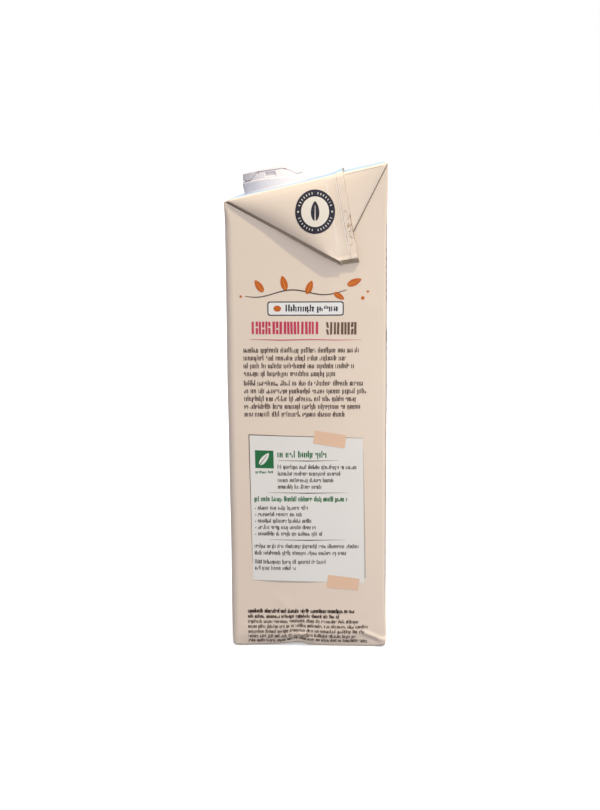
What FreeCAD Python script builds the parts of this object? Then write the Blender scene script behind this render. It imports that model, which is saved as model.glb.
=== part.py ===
import FreeCAD, Part
import os
import Sketcher
from FreeCAD import Vector

# A one-litre drinks carton with a sloping top.
# Frame: millimetres, Z up, origin at the centre of the footprint on the surface it stands on.
# The low edge of the top, with the screw cap behind it, is towards -X and the high edge towards +X.
# The two side panels that carry the folded-down ears face -Y and +Y.

SIZES = {
    # board body
    "bodyDepth": 70.0,
    "bodyWidth": 70.0,
    "frontHeight": 201.4,
    "backHeight": 217.0,
    "edgeRadius": 1.8,
    "faceBulge": 0.8,
    "faceCrown": 0.15,
    # top seal fin and the ears it ends in
    "sealSetback": 44.3,
    "finWidth": 7.8,
    "finThickness": 1.2,
    "finNose": 0.5,
    "finLift": 0.8,
    "finCrease": 2.5,
    "earLength": 37.2,
    "earInset": 1.4,
    "earThickness": 1.2,
    "earSink": 0.4,
    "earLift": 2.6,
    "earPuff": 0.6,
    "earLowGrowth": 0.8,
    "earBackGrowth": 5.0,
    "earTipWidth": 1.2,
    # folded base
    "flapThickness": 1.2,
    "flapInset": 1.0,
    "flapEdge": 0.5,
    "baseFinDrop": 0.6,
    # closure
    "closureSetback": 20.7,
    "neckRadius": 11.6,
    "neckHeight": 6.9,
    "flangeWidth": 3.3,
    "flangeThickness": 1.1,
    "capClearance": 0.15,
    "capWall": 2.15,
    "capRoof": 2.15,
    "capTaper": 0.6,
    "capRim": 0.9,
    "slitHeight": 4.5,
    "slitGap": 0.5,
    "slitDepth": 0.6,
    "windowWidth": 4.7,
    "windowHeight": 2.6,
    "windowDepth": 1.1,
    "windowShift": 2.2,
}

doc = FreeCAD.newDocument("drinks_carton")
sheet = doc.addObject("Spreadsheet::Sheet", "sizes")
for row, (alias, value) in enumerate(SIZES.items(), start=1):
    sheet.set("A%d" % row, alias)
    sheet.set("B%d" % row, str(value))
    sheet.setAlias("B%d" % row, alias)
doc.recompute()

# Lengths and angles that follow from the driving sizes, as expressions of the sheet.
HALF_DEPTH = "sizes.bodyDepth / 2"
HALF_WIDTH = "sizes.bodyWidth / 2"
RISE = "(sizes.backHeight - sizes.frontHeight)"
SLOPE = "atan(%s / sizes.bodyDepth)" % RISE
SLOPE_LENGTH = "sqrt(sizes.bodyDepth ^ 2 + %s ^ 2)" % RISE
CLOSURE_X = "sizes.closureSetback * cos(%s) - %s" % (SLOPE, HALF_DEPTH)
CLOSURE_Z = "sizes.frontHeight + sizes.closureSetback * sin(%s)" % SLOPE
BORE = "(sizes.neckRadius + sizes.capClearance)"
CAP_RADIUS = "(%s + sizes.capWall)" % BORE
CAP_CEILING = "(sizes.neckHeight + sizes.capClearance)"
CAP_HEIGHT = "(%s + sizes.capRoof)" % CAP_CEILING


def value(expression):
    """The number that an expression of the sheet has now."""
    result = sheet.evalExpression(expression)
    return float(getattr(result, "Value", result))


def newBody(label):
    body = doc.addObject("PartDesign::Body", label)
    body.Label = label
    return body


def originPart(body, role):
    for feature in body.Origin.OriginFeatures:
        if feature.Role == role:
            return feature
    raise ValueError("no %s in %s" % (role, body.Label))


def newSketch(body, name, role, offset=None):
    """A sketch on one of the body's origin planes, moved off it by the offset expression."""
    sketch = body.newObject("Sketcher::SketchObject", name)
    sketch.AttachmentSupport = [(originPart(body, role), "")]
    sketch.MapMode = "FlatFace"
    if offset:
        sketch.setExpression("AttachmentOffset.Base.z", offset)
    return sketch


def bindPoint(sketch, edge, end, corner):
    """Hold one end of an edge at the place that two expressions give."""
    for kind, expression in zip(("DistanceX", "DistanceY"), corner):
        index = sketch.addConstraint(Sketcher.Constraint(kind, -1, 1, edge, end, value(expression)))
        sketch.setExpression("Constraints[%d]" % index, expression)


def polygonSketch(body, name, role, corners, offset=None):
    """A closed outline of straight edges through corners given as pairs of expressions."""
    sketch = newSketch(body, name, role, offset)
    points = [Vector(value(x), value(y), 0) for x, y in corners]
    count = len(points)
    for index in range(count):
        sketch.addGeometry(Part.LineSegment(points[index], points[(index + 1) % count]), False)
    for index in range(count):
        sketch.addConstraint(Sketcher.Constraint("Coincident", index, 2, (index + 1) % count, 1))
    for index, corner in enumerate(corners):
        bindPoint(sketch, index, 1, corner)
    return sketch


def bulgedSketch(body, name, height, crown):
    """A rectangle the size of the footprint whose four sides are arcs that rise by the crown."""
    sketch = newSketch(body, name, "XY_Plane", height)
    corners = [
        ("-" + HALF_DEPTH, "-" + HALF_WIDTH),
        (HALF_DEPTH, "-" + HALF_WIDTH),
        (HALF_DEPTH, HALF_WIDTH),
        ("-" + HALF_DEPTH, HALF_WIDTH),
    ]
    points = [Vector(value(x), value(y), 0) for x, y in corners]
    rise = value(crown)
    for index, start in enumerate(points):
        stop = points[(index + 1) % 4]
        middle = (start + stop) / 2
        outward = Vector(middle).normalize()
        sketch.addGeometry(Part.Arc(start, middle + outward * rise, stop), False)
    for index in range(4):
        sketch.addConstraint(Sketcher.Constraint("Coincident", index, 2, (index + 1) % 4, 1))
    for index, corner in enumerate(corners):
        bindPoint(sketch, index, 1, corner)
    for index in range(4):
        chord = "sizes.bodyDepth" if index % 2 == 0 else "sizes.bodyWidth"
        radius = "((%s) ^ 2 / 4 + (%s) ^ 2) / (2 * (%s))" % (chord, crown, crown)
        constraint = Sketcher.Constraint("Radius", index, value(radius))
        sketch.setExpression("Constraints[%d]" % sketch.addConstraint(constraint), radius)
    return sketch


def loft(body, name, sections, ruled):
    feature = body.newObject("PartDesign::AdditiveLoft", name)
    feature.Profile = sections[0]
    feature.Sections = sections[1:]
    feature.Ruled = ruled
    return feature


def pad(body, name, sketch, length, symmetric=False):
    feature = body.newObject("PartDesign::Pad", name)
    feature.Profile = sketch
    feature.setExpression("Length", length)
    if symmetric:
        feature.SideType = "Symmetric"
    return feature


def revolve(body, name, sketch):
    """A full turn of a sketch about the body's own Z axis."""
    feature = body.newObject("PartDesign::Revolution", name)
    feature.Profile = sketch
    feature.ReferenceAxis = (originPart(body, "Z_Axis"), [""])
    feature.Angle = 360
    return feature


def mirrored(label, source):
    """The same piece on the other side of the plane y = 0."""
    feature = doc.addObject("Part::Mirroring", label)
    feature.Source = source
    feature.Normal = Vector(0, 1, 0)
    return feature


def setOnSlope(body, x, y, z):
    """Put a body's origin at a point, with its X axis running up the sloping top."""
    uphill = FreeCAD.Rotation(Vector(0, -1, 0), 1)
    body.Placement = FreeCAD.Placement(Vector(), uphill)
    body.setExpression("Placement.Rotation.Angle", SLOPE)
    body.setExpression("Placement.Base.x", x)
    body.setExpression("Placement.Base.y", y)
    body.setExpression("Placement.Base.z", z)


def makeBrick():
    """The filled body: straight corners, faces that bulge towards their middle, a sloping top."""
    body = newBody("brick")
    top = "max(sizes.frontHeight; sizes.backHeight)"
    floor = "sizes.flapThickness"
    sections = []
    for index, (share, swell) in enumerate([(0, 0), (0.25, 0.8), (0.5, 1), (0.75, 0.8), (1, 0)]):
        height = "%s + (%s - %s) * %s" % (floor, top, floor, share)
        crown = "sizes.faceCrown + sizes.faceBulge * %s" % swell
        sections.append(bulgedSketch(body, "section%d" % index, height, crown))
    bulk = loft(body, "bulk", sections, ruled=False)
    doc.recompute()

    # The cut above the slope runs on past both ends of the body.
    reach = "(%s + sizes.finWidth)" % HALF_DEPTH
    lowZ = "sizes.frontHeight - sizes.finWidth * tan(%s)" % SLOPE
    highZ = "sizes.backHeight + sizes.finWidth * tan(%s)" % SLOPE
    roof = "%s + sizes.finWidth * (1 + tan(abs(%s)))" % (top, SLOPE)
    outline = [("-" + reach, lowZ), (reach, highZ), (reach, roof), ("-" + reach, roof)]
    cut = body.newObject("PartDesign::Pocket", "slopeCut")
    cut.Profile = polygonSketch(body, "slopeSketch", "XZ_Plane", outline)
    cut.SideType = "Symmetric"
    cut.setExpression("Length", "sizes.bodyWidth * 2")
    doc.recompute()
    if cut.Shape.Volume > bulk.Shape.Volume - 1:
        raise RuntimeError("the sloping top cut nothing")

    upright = []
    for index, edge in enumerate(cut.Shape.Edges, start=1):
        box = edge.BoundBox
        if box.ZLength > SIZES["frontHeight"] / 2 and box.XLength < 1 and box.YLength < 1:
            upright.append("Edge%d" % index)
    rounding = body.newObject("PartDesign::Fillet", "cornerRounding")
    rounding.Base = (cut, upright)
    rounding.setExpression("Radius", "sizes.edgeRadius")
    return body


def earEdges(share):
    """Where the two folded edges of an ear lie along the slope, at a share of its length down."""
    lowEnd = "(sizes.sealSetback - sizes.earTipWidth / 2)"
    highEnd = "(sizes.sealSetback + sizes.earTipWidth / 2)"
    low = "(sizes.earInset + (%s - sizes.earInset) * %s)" % (lowEnd, share)
    high = "(%s - (%s - %s) * %s)" % (SLOPE_LENGTH, SLOPE_LENGTH, highEnd, share)
    return low, high


def earStandoffs(share):
    """How far the inner side of an ear stands off the side panel at its low and high edges."""
    low = "(sizes.earLift * %s ^ sizes.earLowGrowth)" % share
    high = "(sizes.earLift * %s ^ sizes.earBackGrowth)" % share
    return low, high


def earRidge(share):
    """How far the outer side of an ear stands off the side panel along the seal."""
    lowEdge, highEdge = earEdges(share)
    low, high = earStandoffs(share)
    along = "(sizes.sealSetback - %s) / (%s - %s)" % (lowEdge, highEdge, lowEdge)
    puff = "sizes.earPuff * 4 * %s * (1 - %s)" % (share, share)
    return "(sizes.earThickness + %s + %s * (%s - %s) + %s)" % (low, along, high, low, puff)


def makeEar():
    """A double triangle of board folded down from the top edge, with the seal fin along it."""
    body = newBody("ear")
    finEdge = "(sizes.sealSetback + sizes.finWidth)"
    leaf = []
    fin = []
    for index, share in enumerate([0, 0.35, 0.7, 1]):
        down = "-sizes.earLength * %s" % share
        lowEdge, highEdge = earEdges(share)
        low, high = earStandoffs(share)
        ridge = earRidge(share)
        brow = "(sizes.earThickness + %s)" % high
        sink = "sizes.earSink * (1 - %s)" % share
        outline = [
            (lowEdge, "%s - %s" % (sink, low)),
            (highEdge, "%s - %s" % (sink, high)),
            (highEdge, "-" + brow),
            ("sizes.sealSetback", "-" + ridge),
            (lowEdge, "-sizes.earThickness - %s" % low),
        ]
        leaf.append(polygonSketch(body, "leafSection%d" % index, "XY_Plane", outline, down))
        reach = "(%s - %s) / (%s - sizes.sealSetback)" % (highEdge, finEdge, highEdge)
        far = "(%s + %s * (%s - %s))" % (brow, reach, ridge, brow)
        outline = [
            ("sizes.sealSetback", "sizes.earSink - %s" % ridge),
            (finEdge, "sizes.earSink - %s" % far),
            (finEdge, "-sizes.finThickness - %s" % far),
            ("sizes.sealSetback + sizes.finNose", "-sizes.finThickness - %s" % ridge),
        ]
        fin.append(polygonSketch(body, "finSection%d" % index, "XY_Plane", outline, down))
    loft(body, "leaf", leaf, ruled=True)
    body.Tip = loft(body, "fin", fin, ruled=True)
    setOnSlope(body, "-" + HALF_DEPTH, "-" + HALF_WIDTH, "sizes.frontHeight")
    return body


def makeTopFin():
    """The seal fin across the top, folded down towards the high edge and over into both ears."""
    body = newBody("topFin")
    edge = "sizes.sealSetback + sizes.finWidth"
    outline = [
        ("sizes.sealSetback", "-sizes.earSink"),
        ("sizes.sealSetback + sizes.finCrease", "-sizes.earSink"),
        (edge, "sizes.finLift"),
        (edge, "sizes.finLift + sizes.finThickness"),
        ("sizes.sealSetback + sizes.finNose", "sizes.finThickness"),
        ("sizes.sealSetback", "sizes.finThickness / 2"),
    ]
    sketch = polygonSketch(body, "finOutline", "XZ_Plane", outline)
    length = "sizes.bodyWidth + 2 * (sizes.earThickness + sizes.finThickness)"
    pad(body, "strip", sketch, length, symmetric=True)
    setOnSlope(body, "-" + HALF_DEPTH, "0", "sizes.frontHeight")
    return body


def makeBaseFlap():
    """One of the two triangles folded in under the base, which the carton stands on."""
    body = newBody("baseFlap")
    outline = [
        ("-(%s - sizes.edgeRadius)" % HALF_DEPTH, "-" + HALF_WIDTH),
        ("%s - sizes.edgeRadius" % HALF_DEPTH, "-" + HALF_WIDTH),
        ("0", "-sizes.flapInset"),
    ]
    sketch = polygonSketch(body, "flapOutline", "XY_Plane", outline)
    sheetOfBoard = pad(body, "flapBoard", sketch, "sizes.flapThickness + sizes.earSink")
    doc.recompute()

    creases = []
    for index, edge in enumerate(sheetOfBoard.Shape.Edges, start=1):
        box = edge.BoundBox
        if box.ZMax < 1e-6 and box.YLength < 1e-6:
            creases.append("Edge%d" % index)
    rounding = body.newObject("PartDesign::Fillet", "foldRounding")
    rounding.Base = (sheetOfBoard, creases)
    rounding.setExpression("Radius", "sizes.flapEdge")
    return body


def makeBaseFin():
    """The lower seal fin, folded flat against the base between it and the flaps."""
    box = doc.addObject("Part::Box", "baseFin")
    box.setExpression("Length", "sizes.finWidth")
    box.setExpression("Width", "sizes.bodyWidth - 2 * sizes.edgeRadius")
    box.setExpression("Height", "sizes.flapThickness - sizes.baseFinDrop + sizes.earSink")
    box.setExpression("Placement.Base.y", "sizes.edgeRadius - %s" % HALF_WIDTH)
    box.setExpression("Placement.Base.z", "sizes.baseFinDrop")
    return box


def makeCarton():
    """The board body with everything that is folded out of the same sheet."""
    ear = makeEar()
    flap = makeBaseFlap()
    pieces = [makeBrick(), ear, mirrored("farEar", ear), makeTopFin()]
    pieces += [flap, mirrored("farFlap", flap), makeBaseFin()]
    carton = doc.addObject("Part::MultiFuse", "carton")
    carton.Label = "carton"
    carton.Shapes = pieces
    return carton


def makeSpout():
    """The moulded flange and neck that are fixed to the sloping top."""
    body = newBody("spout")
    flange = "sizes.neckRadius + sizes.flangeWidth"
    outline = [
        ("0", "0"),
        (flange, "0"),
        (flange, "sizes.flangeThickness"),
        ("sizes.neckRadius", "sizes.flangeThickness"),
        ("sizes.neckRadius", "sizes.neckHeight"),
        ("0", "sizes.neckHeight"),
    ]
    revolve(body, "collar", polygonSketch(body, "collarProfile", "XZ_Plane", outline))
    setOnSlope(body, CLOSURE_X, "0", CLOSURE_Z)
    return body


def makeScrewCap():
    """The cap and the tether band it is moulded with, told apart by a slit right round."""
    body = newBody("screw_cap")
    slitTop = "(sizes.slitHeight + sizes.slitGap)"
    slitFloor = "%s - sizes.slitDepth" % CAP_RADIUS
    shoulder = "%s - sizes.capRim" % CAP_HEIGHT
    lean = "sizes.capTaper / (%s - sizes.flangeThickness)" % shoulder
    outside = "%s + sizes.capTaper - (%s - sizes.flangeThickness) * %s"
    outline = [
        (BORE, "sizes.flangeThickness"),
        ("%s + sizes.capTaper" % CAP_RADIUS, "sizes.flangeThickness"),
        (outside % (CAP_RADIUS, "sizes.slitHeight", lean), "sizes.slitHeight"),
        (slitFloor, "sizes.slitHeight"),
        (slitFloor, slitTop),
        (outside % (CAP_RADIUS, slitTop, lean), slitTop),
        (CAP_RADIUS, shoulder),
        ("%s - sizes.capRim" % CAP_RADIUS, CAP_HEIGHT),
        ("0", CAP_HEIGHT),
        ("0", CAP_CEILING),
        (BORE, CAP_CEILING),
    ]
    turned = revolve(body, "cup", polygonSketch(body, "cupProfile", "XZ_Plane", outline))
    doc.recompute()

    # A shallow square recess over the tether, on the side panel's side of the closure.
    left = "-sizes.windowShift - sizes.windowWidth / 2"
    right = "-sizes.windowShift + sizes.windowWidth / 2"
    roof = "%s + sizes.windowHeight" % slitTop
    opening = [(left, slitTop), (right, slitTop), (right, roof), (left, roof)]
    floor = "%s - sizes.windowDepth" % CAP_RADIUS
    window = body.newObject("PartDesign::Pocket", "window")
    window.Profile = polygonSketch(body, "windowOutline", "XZ_Plane", opening, floor)
    window.Reversed = True
    window.setExpression("Length", CAP_RADIUS)
    doc.recompute()
    if window.Shape.Volume > turned.Shape.Volume - 1:
        raise RuntimeError("the window cut nothing")
    setOnSlope(body, CLOSURE_X, "0", CLOSURE_Z)
    return body


subParts = [makeCarton(), makeSpout(), makeScrewCap()]
doc.recompute()

for item in doc.Objects:
    if "Invalid" in item.State or "Error" in item.State:
        raise RuntimeError("%s did not compute: %s" % (item.Label, item.State))

os.makedirs("parts", exist_ok=True)
for item in subParts:
    shape = item.Shape
    if shape.isNull() or not shape.isValid() or len(shape.Solids) != 1:
        raise RuntimeError("%s is not one sound solid" % item.Label)
    shape.exportStep("parts/%s.step" % item.Label)
    box = shape.BoundBox
    print("%-10s %9.0f mm3  x %.1f..%.1f  y %.1f..%.1f  z %.1f..%.1f" % (
        item.Label, shape.Volume, box.XMin, box.XMax, box.YMin, box.YMax, box.ZMin, box.ZMax))
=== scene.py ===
import math

import bmesh
import bpy
import numpy as np
from mathutils import Matrix, Vector
from mathutils.bvhtree import BVHTree


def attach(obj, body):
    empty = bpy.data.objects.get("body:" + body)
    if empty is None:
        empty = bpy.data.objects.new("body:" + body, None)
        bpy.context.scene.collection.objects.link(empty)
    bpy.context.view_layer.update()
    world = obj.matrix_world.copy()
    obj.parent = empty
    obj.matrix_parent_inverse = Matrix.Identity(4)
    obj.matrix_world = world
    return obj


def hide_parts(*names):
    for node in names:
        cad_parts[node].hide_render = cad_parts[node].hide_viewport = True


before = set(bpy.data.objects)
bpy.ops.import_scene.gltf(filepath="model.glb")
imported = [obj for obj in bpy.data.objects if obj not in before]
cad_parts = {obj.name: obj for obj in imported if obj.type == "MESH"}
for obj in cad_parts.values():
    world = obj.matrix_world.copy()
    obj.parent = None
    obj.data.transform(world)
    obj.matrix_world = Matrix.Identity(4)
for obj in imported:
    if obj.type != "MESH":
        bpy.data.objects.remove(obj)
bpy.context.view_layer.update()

# A one-litre drinks carton with a sloping top. All shapes are worked out in millimetres
# and scaled once, when the mesh is made.
mm = 0.001
print("frame loaded")


# ---- small tools ----

def smooth(low, high, x):
    t = np.clip((x - low) / (high - low), 0, 1)
    return t * t * (3 - 2 * t)


def hump(x, centre, width):
    return np.exp(-((x - centre) / width) ** 2)


def waves(a, b, seed, shortest, longest, height, count=14):
    # a gentle uneven surface: a few sine waves in random directions
    rng = np.random.RandomState(seed)
    total = np.zeros(np.broadcast(a, b).shape)
    for _ in range(count):
        length = shortest * (longest / shortest) ** rng.rand()
        turn, phase = rng.rand(2) * 2 * math.pi
        along = a * math.cos(turn) + b * math.sin(turn)
        total += math.sqrt(length / longest) * np.sin(along * 2 * math.pi / length + phase)
    return total * height / math.sqrt(count / 2)


def crease(a, b, start, stop, width, height):
    # a ridge or, with a negative height, a valley between two points, fading at both ends
    line = np.array(stop, float) - np.array(start, float)
    share = ((a - start[0]) * line[0] + (b - start[1]) * line[1]) / (line @ line)
    held = np.clip(share, 0, 1)
    away = np.hypot(a - start[0] - held * line[0], b - start[1] - held * line[1])
    return height * np.exp(-(away / width) ** 2) * (0.35 + 0.65 * np.sin(math.pi * held) ** 0.5)


def spread(stops):
    # grid lines: each entry is (place, number of steps up to it)
    lines = [stops[0][0]]
    for place, steps in stops[1:]:
        lines += list(np.linspace(lines[-1], place, steps + 1)[1:])
    return np.array(lines)


def makePiece(name, points, faces, materials, faceMaterial=None, sharp=38, fold=None, closed=True):
    mesh = bpy.data.meshes.new(name)
    mesh.from_pydata((np.asarray(points) * mm).tolist(), [], [tuple(map(int, f)) for f in faces])
    for material in materials:
        mesh.materials.append(material)
    if faceMaterial is not None:
        mesh.polygons.foreach_set("material_index", np.asarray(faceMaterial, dtype=np.int32))
    if fold is not None:
        layer = mesh.attributes.new("fold", "FLOAT", "POINT")
        layer.data.foreach_set("value", np.asarray(fold, dtype=np.float32))
    if closed:
        # the faces of a closed piece all look outwards
        shape = bmesh.new()
        shape.from_mesh(mesh)
        bmesh.ops.recalc_face_normals(shape, faces=shape.faces)
        shape.to_mesh(mesh)
        shape.free()
    mesh.shade_smooth()
    mesh.set_sharp_from_angle(angle=math.radians(sharp))
    piece = bpy.data.objects.new(name, mesh)
    bpy.context.collection.objects.link(piece)
    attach(piece, "root")
    return piece


def tubeFaces(rows, columns):
    # quads of a tube: rows of points, each row a closed loop
    faces = []
    for row in range(rows - 1):
        for column in range(columns):
            after = (column + 1) % columns
            a = row * columns + column
            b = row * columns + after
            faces.append((a, b, b + columns, a + columns))
    return faces


def endFaces(rows, columns):
    # the two faces that close such a tube at its first and last row
    first = tuple(range(columns))[::-1]
    last = tuple((rows - 1) * columns + c for c in range(columns))
    return [first, last]


# ---- camera ----

view = {
    "place": (22.06, -594.57, 223.67),
    "yaw": -2.5785,
    "pitch": 11.2285,
    "roll": -0.525,
    "lens": 57.78,
    "sensor": 36,
}


def addCamera():
    yaw, pitch, roll = (math.radians(view[key]) for key in ("yaw", "pitch", "roll"))
    flat = math.cos(pitch)
    ahead = Vector((math.sin(yaw) * flat, math.cos(yaw) * flat, -math.sin(pitch)))
    level = Vector((math.cos(yaw), -math.sin(yaw), 0))
    above = level.cross(ahead)
    right = level * math.cos(roll) + above * math.sin(roll)
    up = above * math.cos(roll) - level * math.sin(roll)
    turn = Matrix((right, up, -ahead)).transposed().to_4x4()
    lensData = bpy.data.cameras.new("camera")
    lensData.lens = view["lens"]
    lensData.sensor_width = view["sensor"]
    lensData.clip_start = 0.01
    camera = bpy.data.objects.new("camera", lensData)
    camera.matrix_world = Matrix.Translation(Vector(view["place"]) * mm) @ turn
    bpy.context.collection.objects.link(camera)
    bpy.context.scene.camera = camera


addCamera()


# ---- materials ----

colors = {
    "board": (0.800, 0.672, 0.560),
    # painted shade: the darker board colour of the ear's turned-under low edge and tip
    "fold": (0.40, 0.325, 0.255),
    "rubbed": (0.86, 0.80, 0.74),
    "kraft": (0.30, 0.225, 0.155),
    "kraftPale": (0.52, 0.43, 0.33),
    "closure": (0.860, 0.785, 0.795),
    "closureDust": (0.70, 0.68, 0.68),
}
# print colours, with a few painted light colours: a reflection on the top, shade in the fold gaps and
# highlight on the fin's folds
inksAndPaintedLight = {
    "text": (0.060, 0.036, 0.028),
    "title": (0.560, 0.035, 0.100),
    "titleBrown": (0.140, 0.070, 0.045),
    "navy": (0.013, 0.012, 0.028),
    "cream": (0.800, 0.740, 0.650),
    "card": (0.800, 0.775, 0.735),
    "white": (0.830, 0.820, 0.810),
    "green": (0.010, 0.150, 0.045),
    "tape": (0.790, 0.530, 0.370),
    "seed": (0.560, 0.120, 0.004),
    "seedLight": (0.740, 0.290, 0.060),
    "shade": (0.480, 0.430, 0.380),
    # painted reflection: a pale blue standing in for the surroundings reflected in the gloss of the top
    # panel
    "sky": (0.44, 0.60, 0.74),
    # painted shade for the gaps behind the ears' folds
    "foldDark": (0.07, 0.048, 0.035),
    # pale fold lines: rubbed wear together with painted highlight on the fold ridges
    "creaseLight": (0.94, 0.83, 0.73),
    "creaseBrown": (0.36, 0.20, 0.09),
}


def newGroup(name, inputs):
    # a shader node group that gives a colour, a roughness and a height
    group = bpy.data.node_groups.new(name, "ShaderNodeTree")
    for socket, kind, default in inputs:
        made = group.interface.new_socket(socket, in_out="INPUT", socket_type=kind)
        made.default_value = default
    for socket, kind in (("Color", "NodeSocketColor"), ("Roughness", "NodeSocketFloat"),
                         ("Height", "NodeSocketFloat")):
        group.interface.new_socket(socket, in_out="OUTPUT", socket_type=kind)
    return group, group.nodes.new("NodeGroupInput"), group.nodes.new("NodeGroupOutput")


def endGroup(group, out, color, rough, height):
    group.links.new(color, out.inputs["Color"])
    group.links.new(rough, out.inputs["Roughness"])
    group.links.new(height, out.inputs["Height"])
    return group


def feed(tree, value, socket):
    # a link if the value is another node's socket, else a constant
    if hasattr(value, "links"):
        tree.links.new(value, socket)
    else:
        socket.default_value = value


def noiseNode(tree, scale, detail, vector, rough=0.55):
    node = tree.nodes.new("ShaderNodeTexNoise")
    node.inputs["Scale"].default_value = scale
    node.inputs["Detail"].default_value = detail
    node.inputs["Roughness"].default_value = rough
    tree.links.new(vector, node.inputs["Vector"])
    return node.outputs["Fac"]


def mathNode(tree, operation, *values):
    node = tree.nodes.new("ShaderNodeMath")
    node.operation = operation
    for value, socket in zip(values, node.inputs):
        feed(tree, value, socket)
    return node.outputs[0]


def mixNode(tree, share, first, second):
    node = tree.nodes.new("ShaderNodeMix")
    node.data_type = "RGBA"
    feed(tree, share, node.inputs[0])
    feed(tree, first, node.inputs[6])
    feed(tree, second, node.inputs[7])
    return node.outputs[2]


def makeCoatedGroup():
    # printed, film-coated board: a faint cloudiness, fine fibre speckle and rubbed folds
    group, given, out = newGroup("coatedPrint", [
        ("Ink", "NodeSocketColor", (1, 1, 1, 1)),
        ("Cloud", "NodeSocketFloat", 0.05),
        ("Wear", "NodeSocketFloat", 0.3),
        ("Gloss", "NodeSocketFloat", 0.42),
    ])
    place = group.nodes.new("ShaderNodeTexCoord").outputs["Object"]
    cloud = noiseNode(group, 24, 3, place)
    fibre = noiseNode(group, 1500, 4, place, 0.7)
    peel = noiseNode(group, 420, 2, place)
    fold = group.nodes.new("ShaderNodeAttribute")
    fold.attribute_name = "fold"
    patch = mathNode(group, "MULTIPLY", noiseNode(group, 260, 4, place, 0.75), 1.5)
    rubbed = mathNode(group, "MULTIPLY", fold.outputs["Fac"], patch)
    rubbed = mathNode(group, "MULTIPLY", rubbed, given.outputs["Wear"])
    # cloud and fibre lighten and darken the ink by like amounts
    tone = mathNode(group, "MULTIPLY_ADD", cloud, given.outputs["Cloud"], 1)
    tone = mathNode(group, "MULTIPLY_ADD", fibre, 0.035, mathNode(group, "SUBTRACT", tone, 0.0175))
    tone = mathNode(group, "SUBTRACT", tone, mathNode(group, "MULTIPLY", given.outputs["Cloud"], 0.5))
    shaded = group.nodes.new("ShaderNodeVectorMath")
    shaded.operation = "SCALE"
    group.links.new(given.outputs["Ink"], shaded.inputs[0])
    group.links.new(tone, shaded.inputs["Scale"])
    worn = mixNode(group, rubbed, shaded.outputs[0], (*colors["rubbed"], 1))
    rough = mathNode(group, "SUBTRACT", given.outputs["Gloss"], 0.06)
    rough = mathNode(group, "MULTIPLY_ADD", cloud, 0.12, rough)
    rough = mathNode(group, "MULTIPLY_ADD", rubbed, 0.3, rough)
    height = mathNode(group, "MULTIPLY_ADD", fibre, 0.25, mathNode(group, "MULTIPLY", peel, 0.75))
    return endGroup(group, out, worn, rough, height)


def makeRawGroup():
    # bare cut board: layered, fibrous and uneven in tone
    group, given, out = newGroup("rawBoard", [("Tone", "NodeSocketColor", (1, 1, 1, 1))])
    place = group.nodes.new("ShaderNodeTexCoord").outputs["Object"]
    fibre = noiseNode(group, 1900, 5, place, 0.75)
    blotch = noiseNode(group, 300, 3, place)
    share = mathNode(group, "MULTIPLY", mathNode(group, "ADD", fibre, blotch), 0.55)
    color = mixNode(group, share, given.outputs["Tone"], (*colors["kraftPale"], 1))
    return endGroup(group, out, color, mathNode(group, "MULTIPLY_ADD", blotch, 0.1, 0.75), fibre)


def makeMouldedGroup():
    # moulded polyethylene: a soft cloud in the gloss and a trace of dust
    group, given, out = newGroup("mouldedPlastic", [("Tone", "NodeSocketColor", (1, 1, 1, 1))])
    place = group.nodes.new("ShaderNodeTexCoord").outputs["Object"]
    cloud = noiseNode(group, 120, 3, place)
    grain = noiseNode(group, 2600, 2, place)
    dust = mathNode(group, "MULTIPLY", cloud, 0.16)
    color = mixNode(group, dust, given.outputs["Tone"], (*colors["closureDust"], 1))
    return endGroup(group, out, color, mathNode(group, "MULTIPLY_ADD", cloud, 0.14, 0.27), grain)


coatedPrint = makeCoatedGroup()
rawBoard = makeRawGroup()
mouldedPlastic = makeMouldedGroup()


def makeMaterial(name, group, values, bump, distance, specular=0.5):
    material = bpy.data.materials.new(name)
    material.use_nodes = True
    tree = material.node_tree
    shader = tree.nodes["Principled BSDF"]
    effect = tree.nodes.new("ShaderNodeGroup")
    effect.node_tree = group
    for key, value in values.items():
        effect.inputs[key].default_value = (*value, 1) if isinstance(value, tuple) else value
    relief = tree.nodes.new("ShaderNodeBump")
    relief.inputs["Strength"].default_value = bump
    relief.inputs["Distance"].default_value = distance * mm
    tree.links.new(effect.outputs["Color"], shader.inputs["Base Color"])
    tree.links.new(effect.outputs["Roughness"], shader.inputs["Roughness"])
    tree.links.new(effect.outputs["Height"], relief.inputs["Height"])
    tree.links.new(relief.outputs["Normal"], shader.inputs["Normal"])
    shader.inputs["Specular IOR Level"].default_value = specular
    return material


def boardMaterial(name, color, cloud=0.05, wear=0.35, gloss=0.45):
    values = {"Ink": color, "Cloud": cloud, "Wear": wear, "Gloss": gloss}
    return makeMaterial(name, coatedPrint, values, bump=0.22, distance=0.06)


boardSkin = boardMaterial("boardSkin", colors["board"], wear=0.14)
# painted shade for the ear's turned-under low edge and tip, which lie in shadow
foldShadeSkin = boardMaterial("foldShadeSkin", colors["fold"], wear=0.1, gloss=0.6)
rawEdge = makeMaterial("rawEdge", rawBoard, {"Tone": colors["kraft"]}, bump=0.6, distance=0.1, specular=0.2)
closureSkin = makeMaterial("closureSkin", mouldedPlastic, {"Tone": colors["closure"]}, bump=0.08,
                           distance=0.03, specular=0.35)
inkSkins = {}
for inkName, ink in inksAndPaintedLight.items():
    inkSkins[inkName] = boardMaterial(inkName + "Ink", ink, cloud=0.08, wear=0.0, gloss=0.5)
print("materials made")


# ---- body ----

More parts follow.
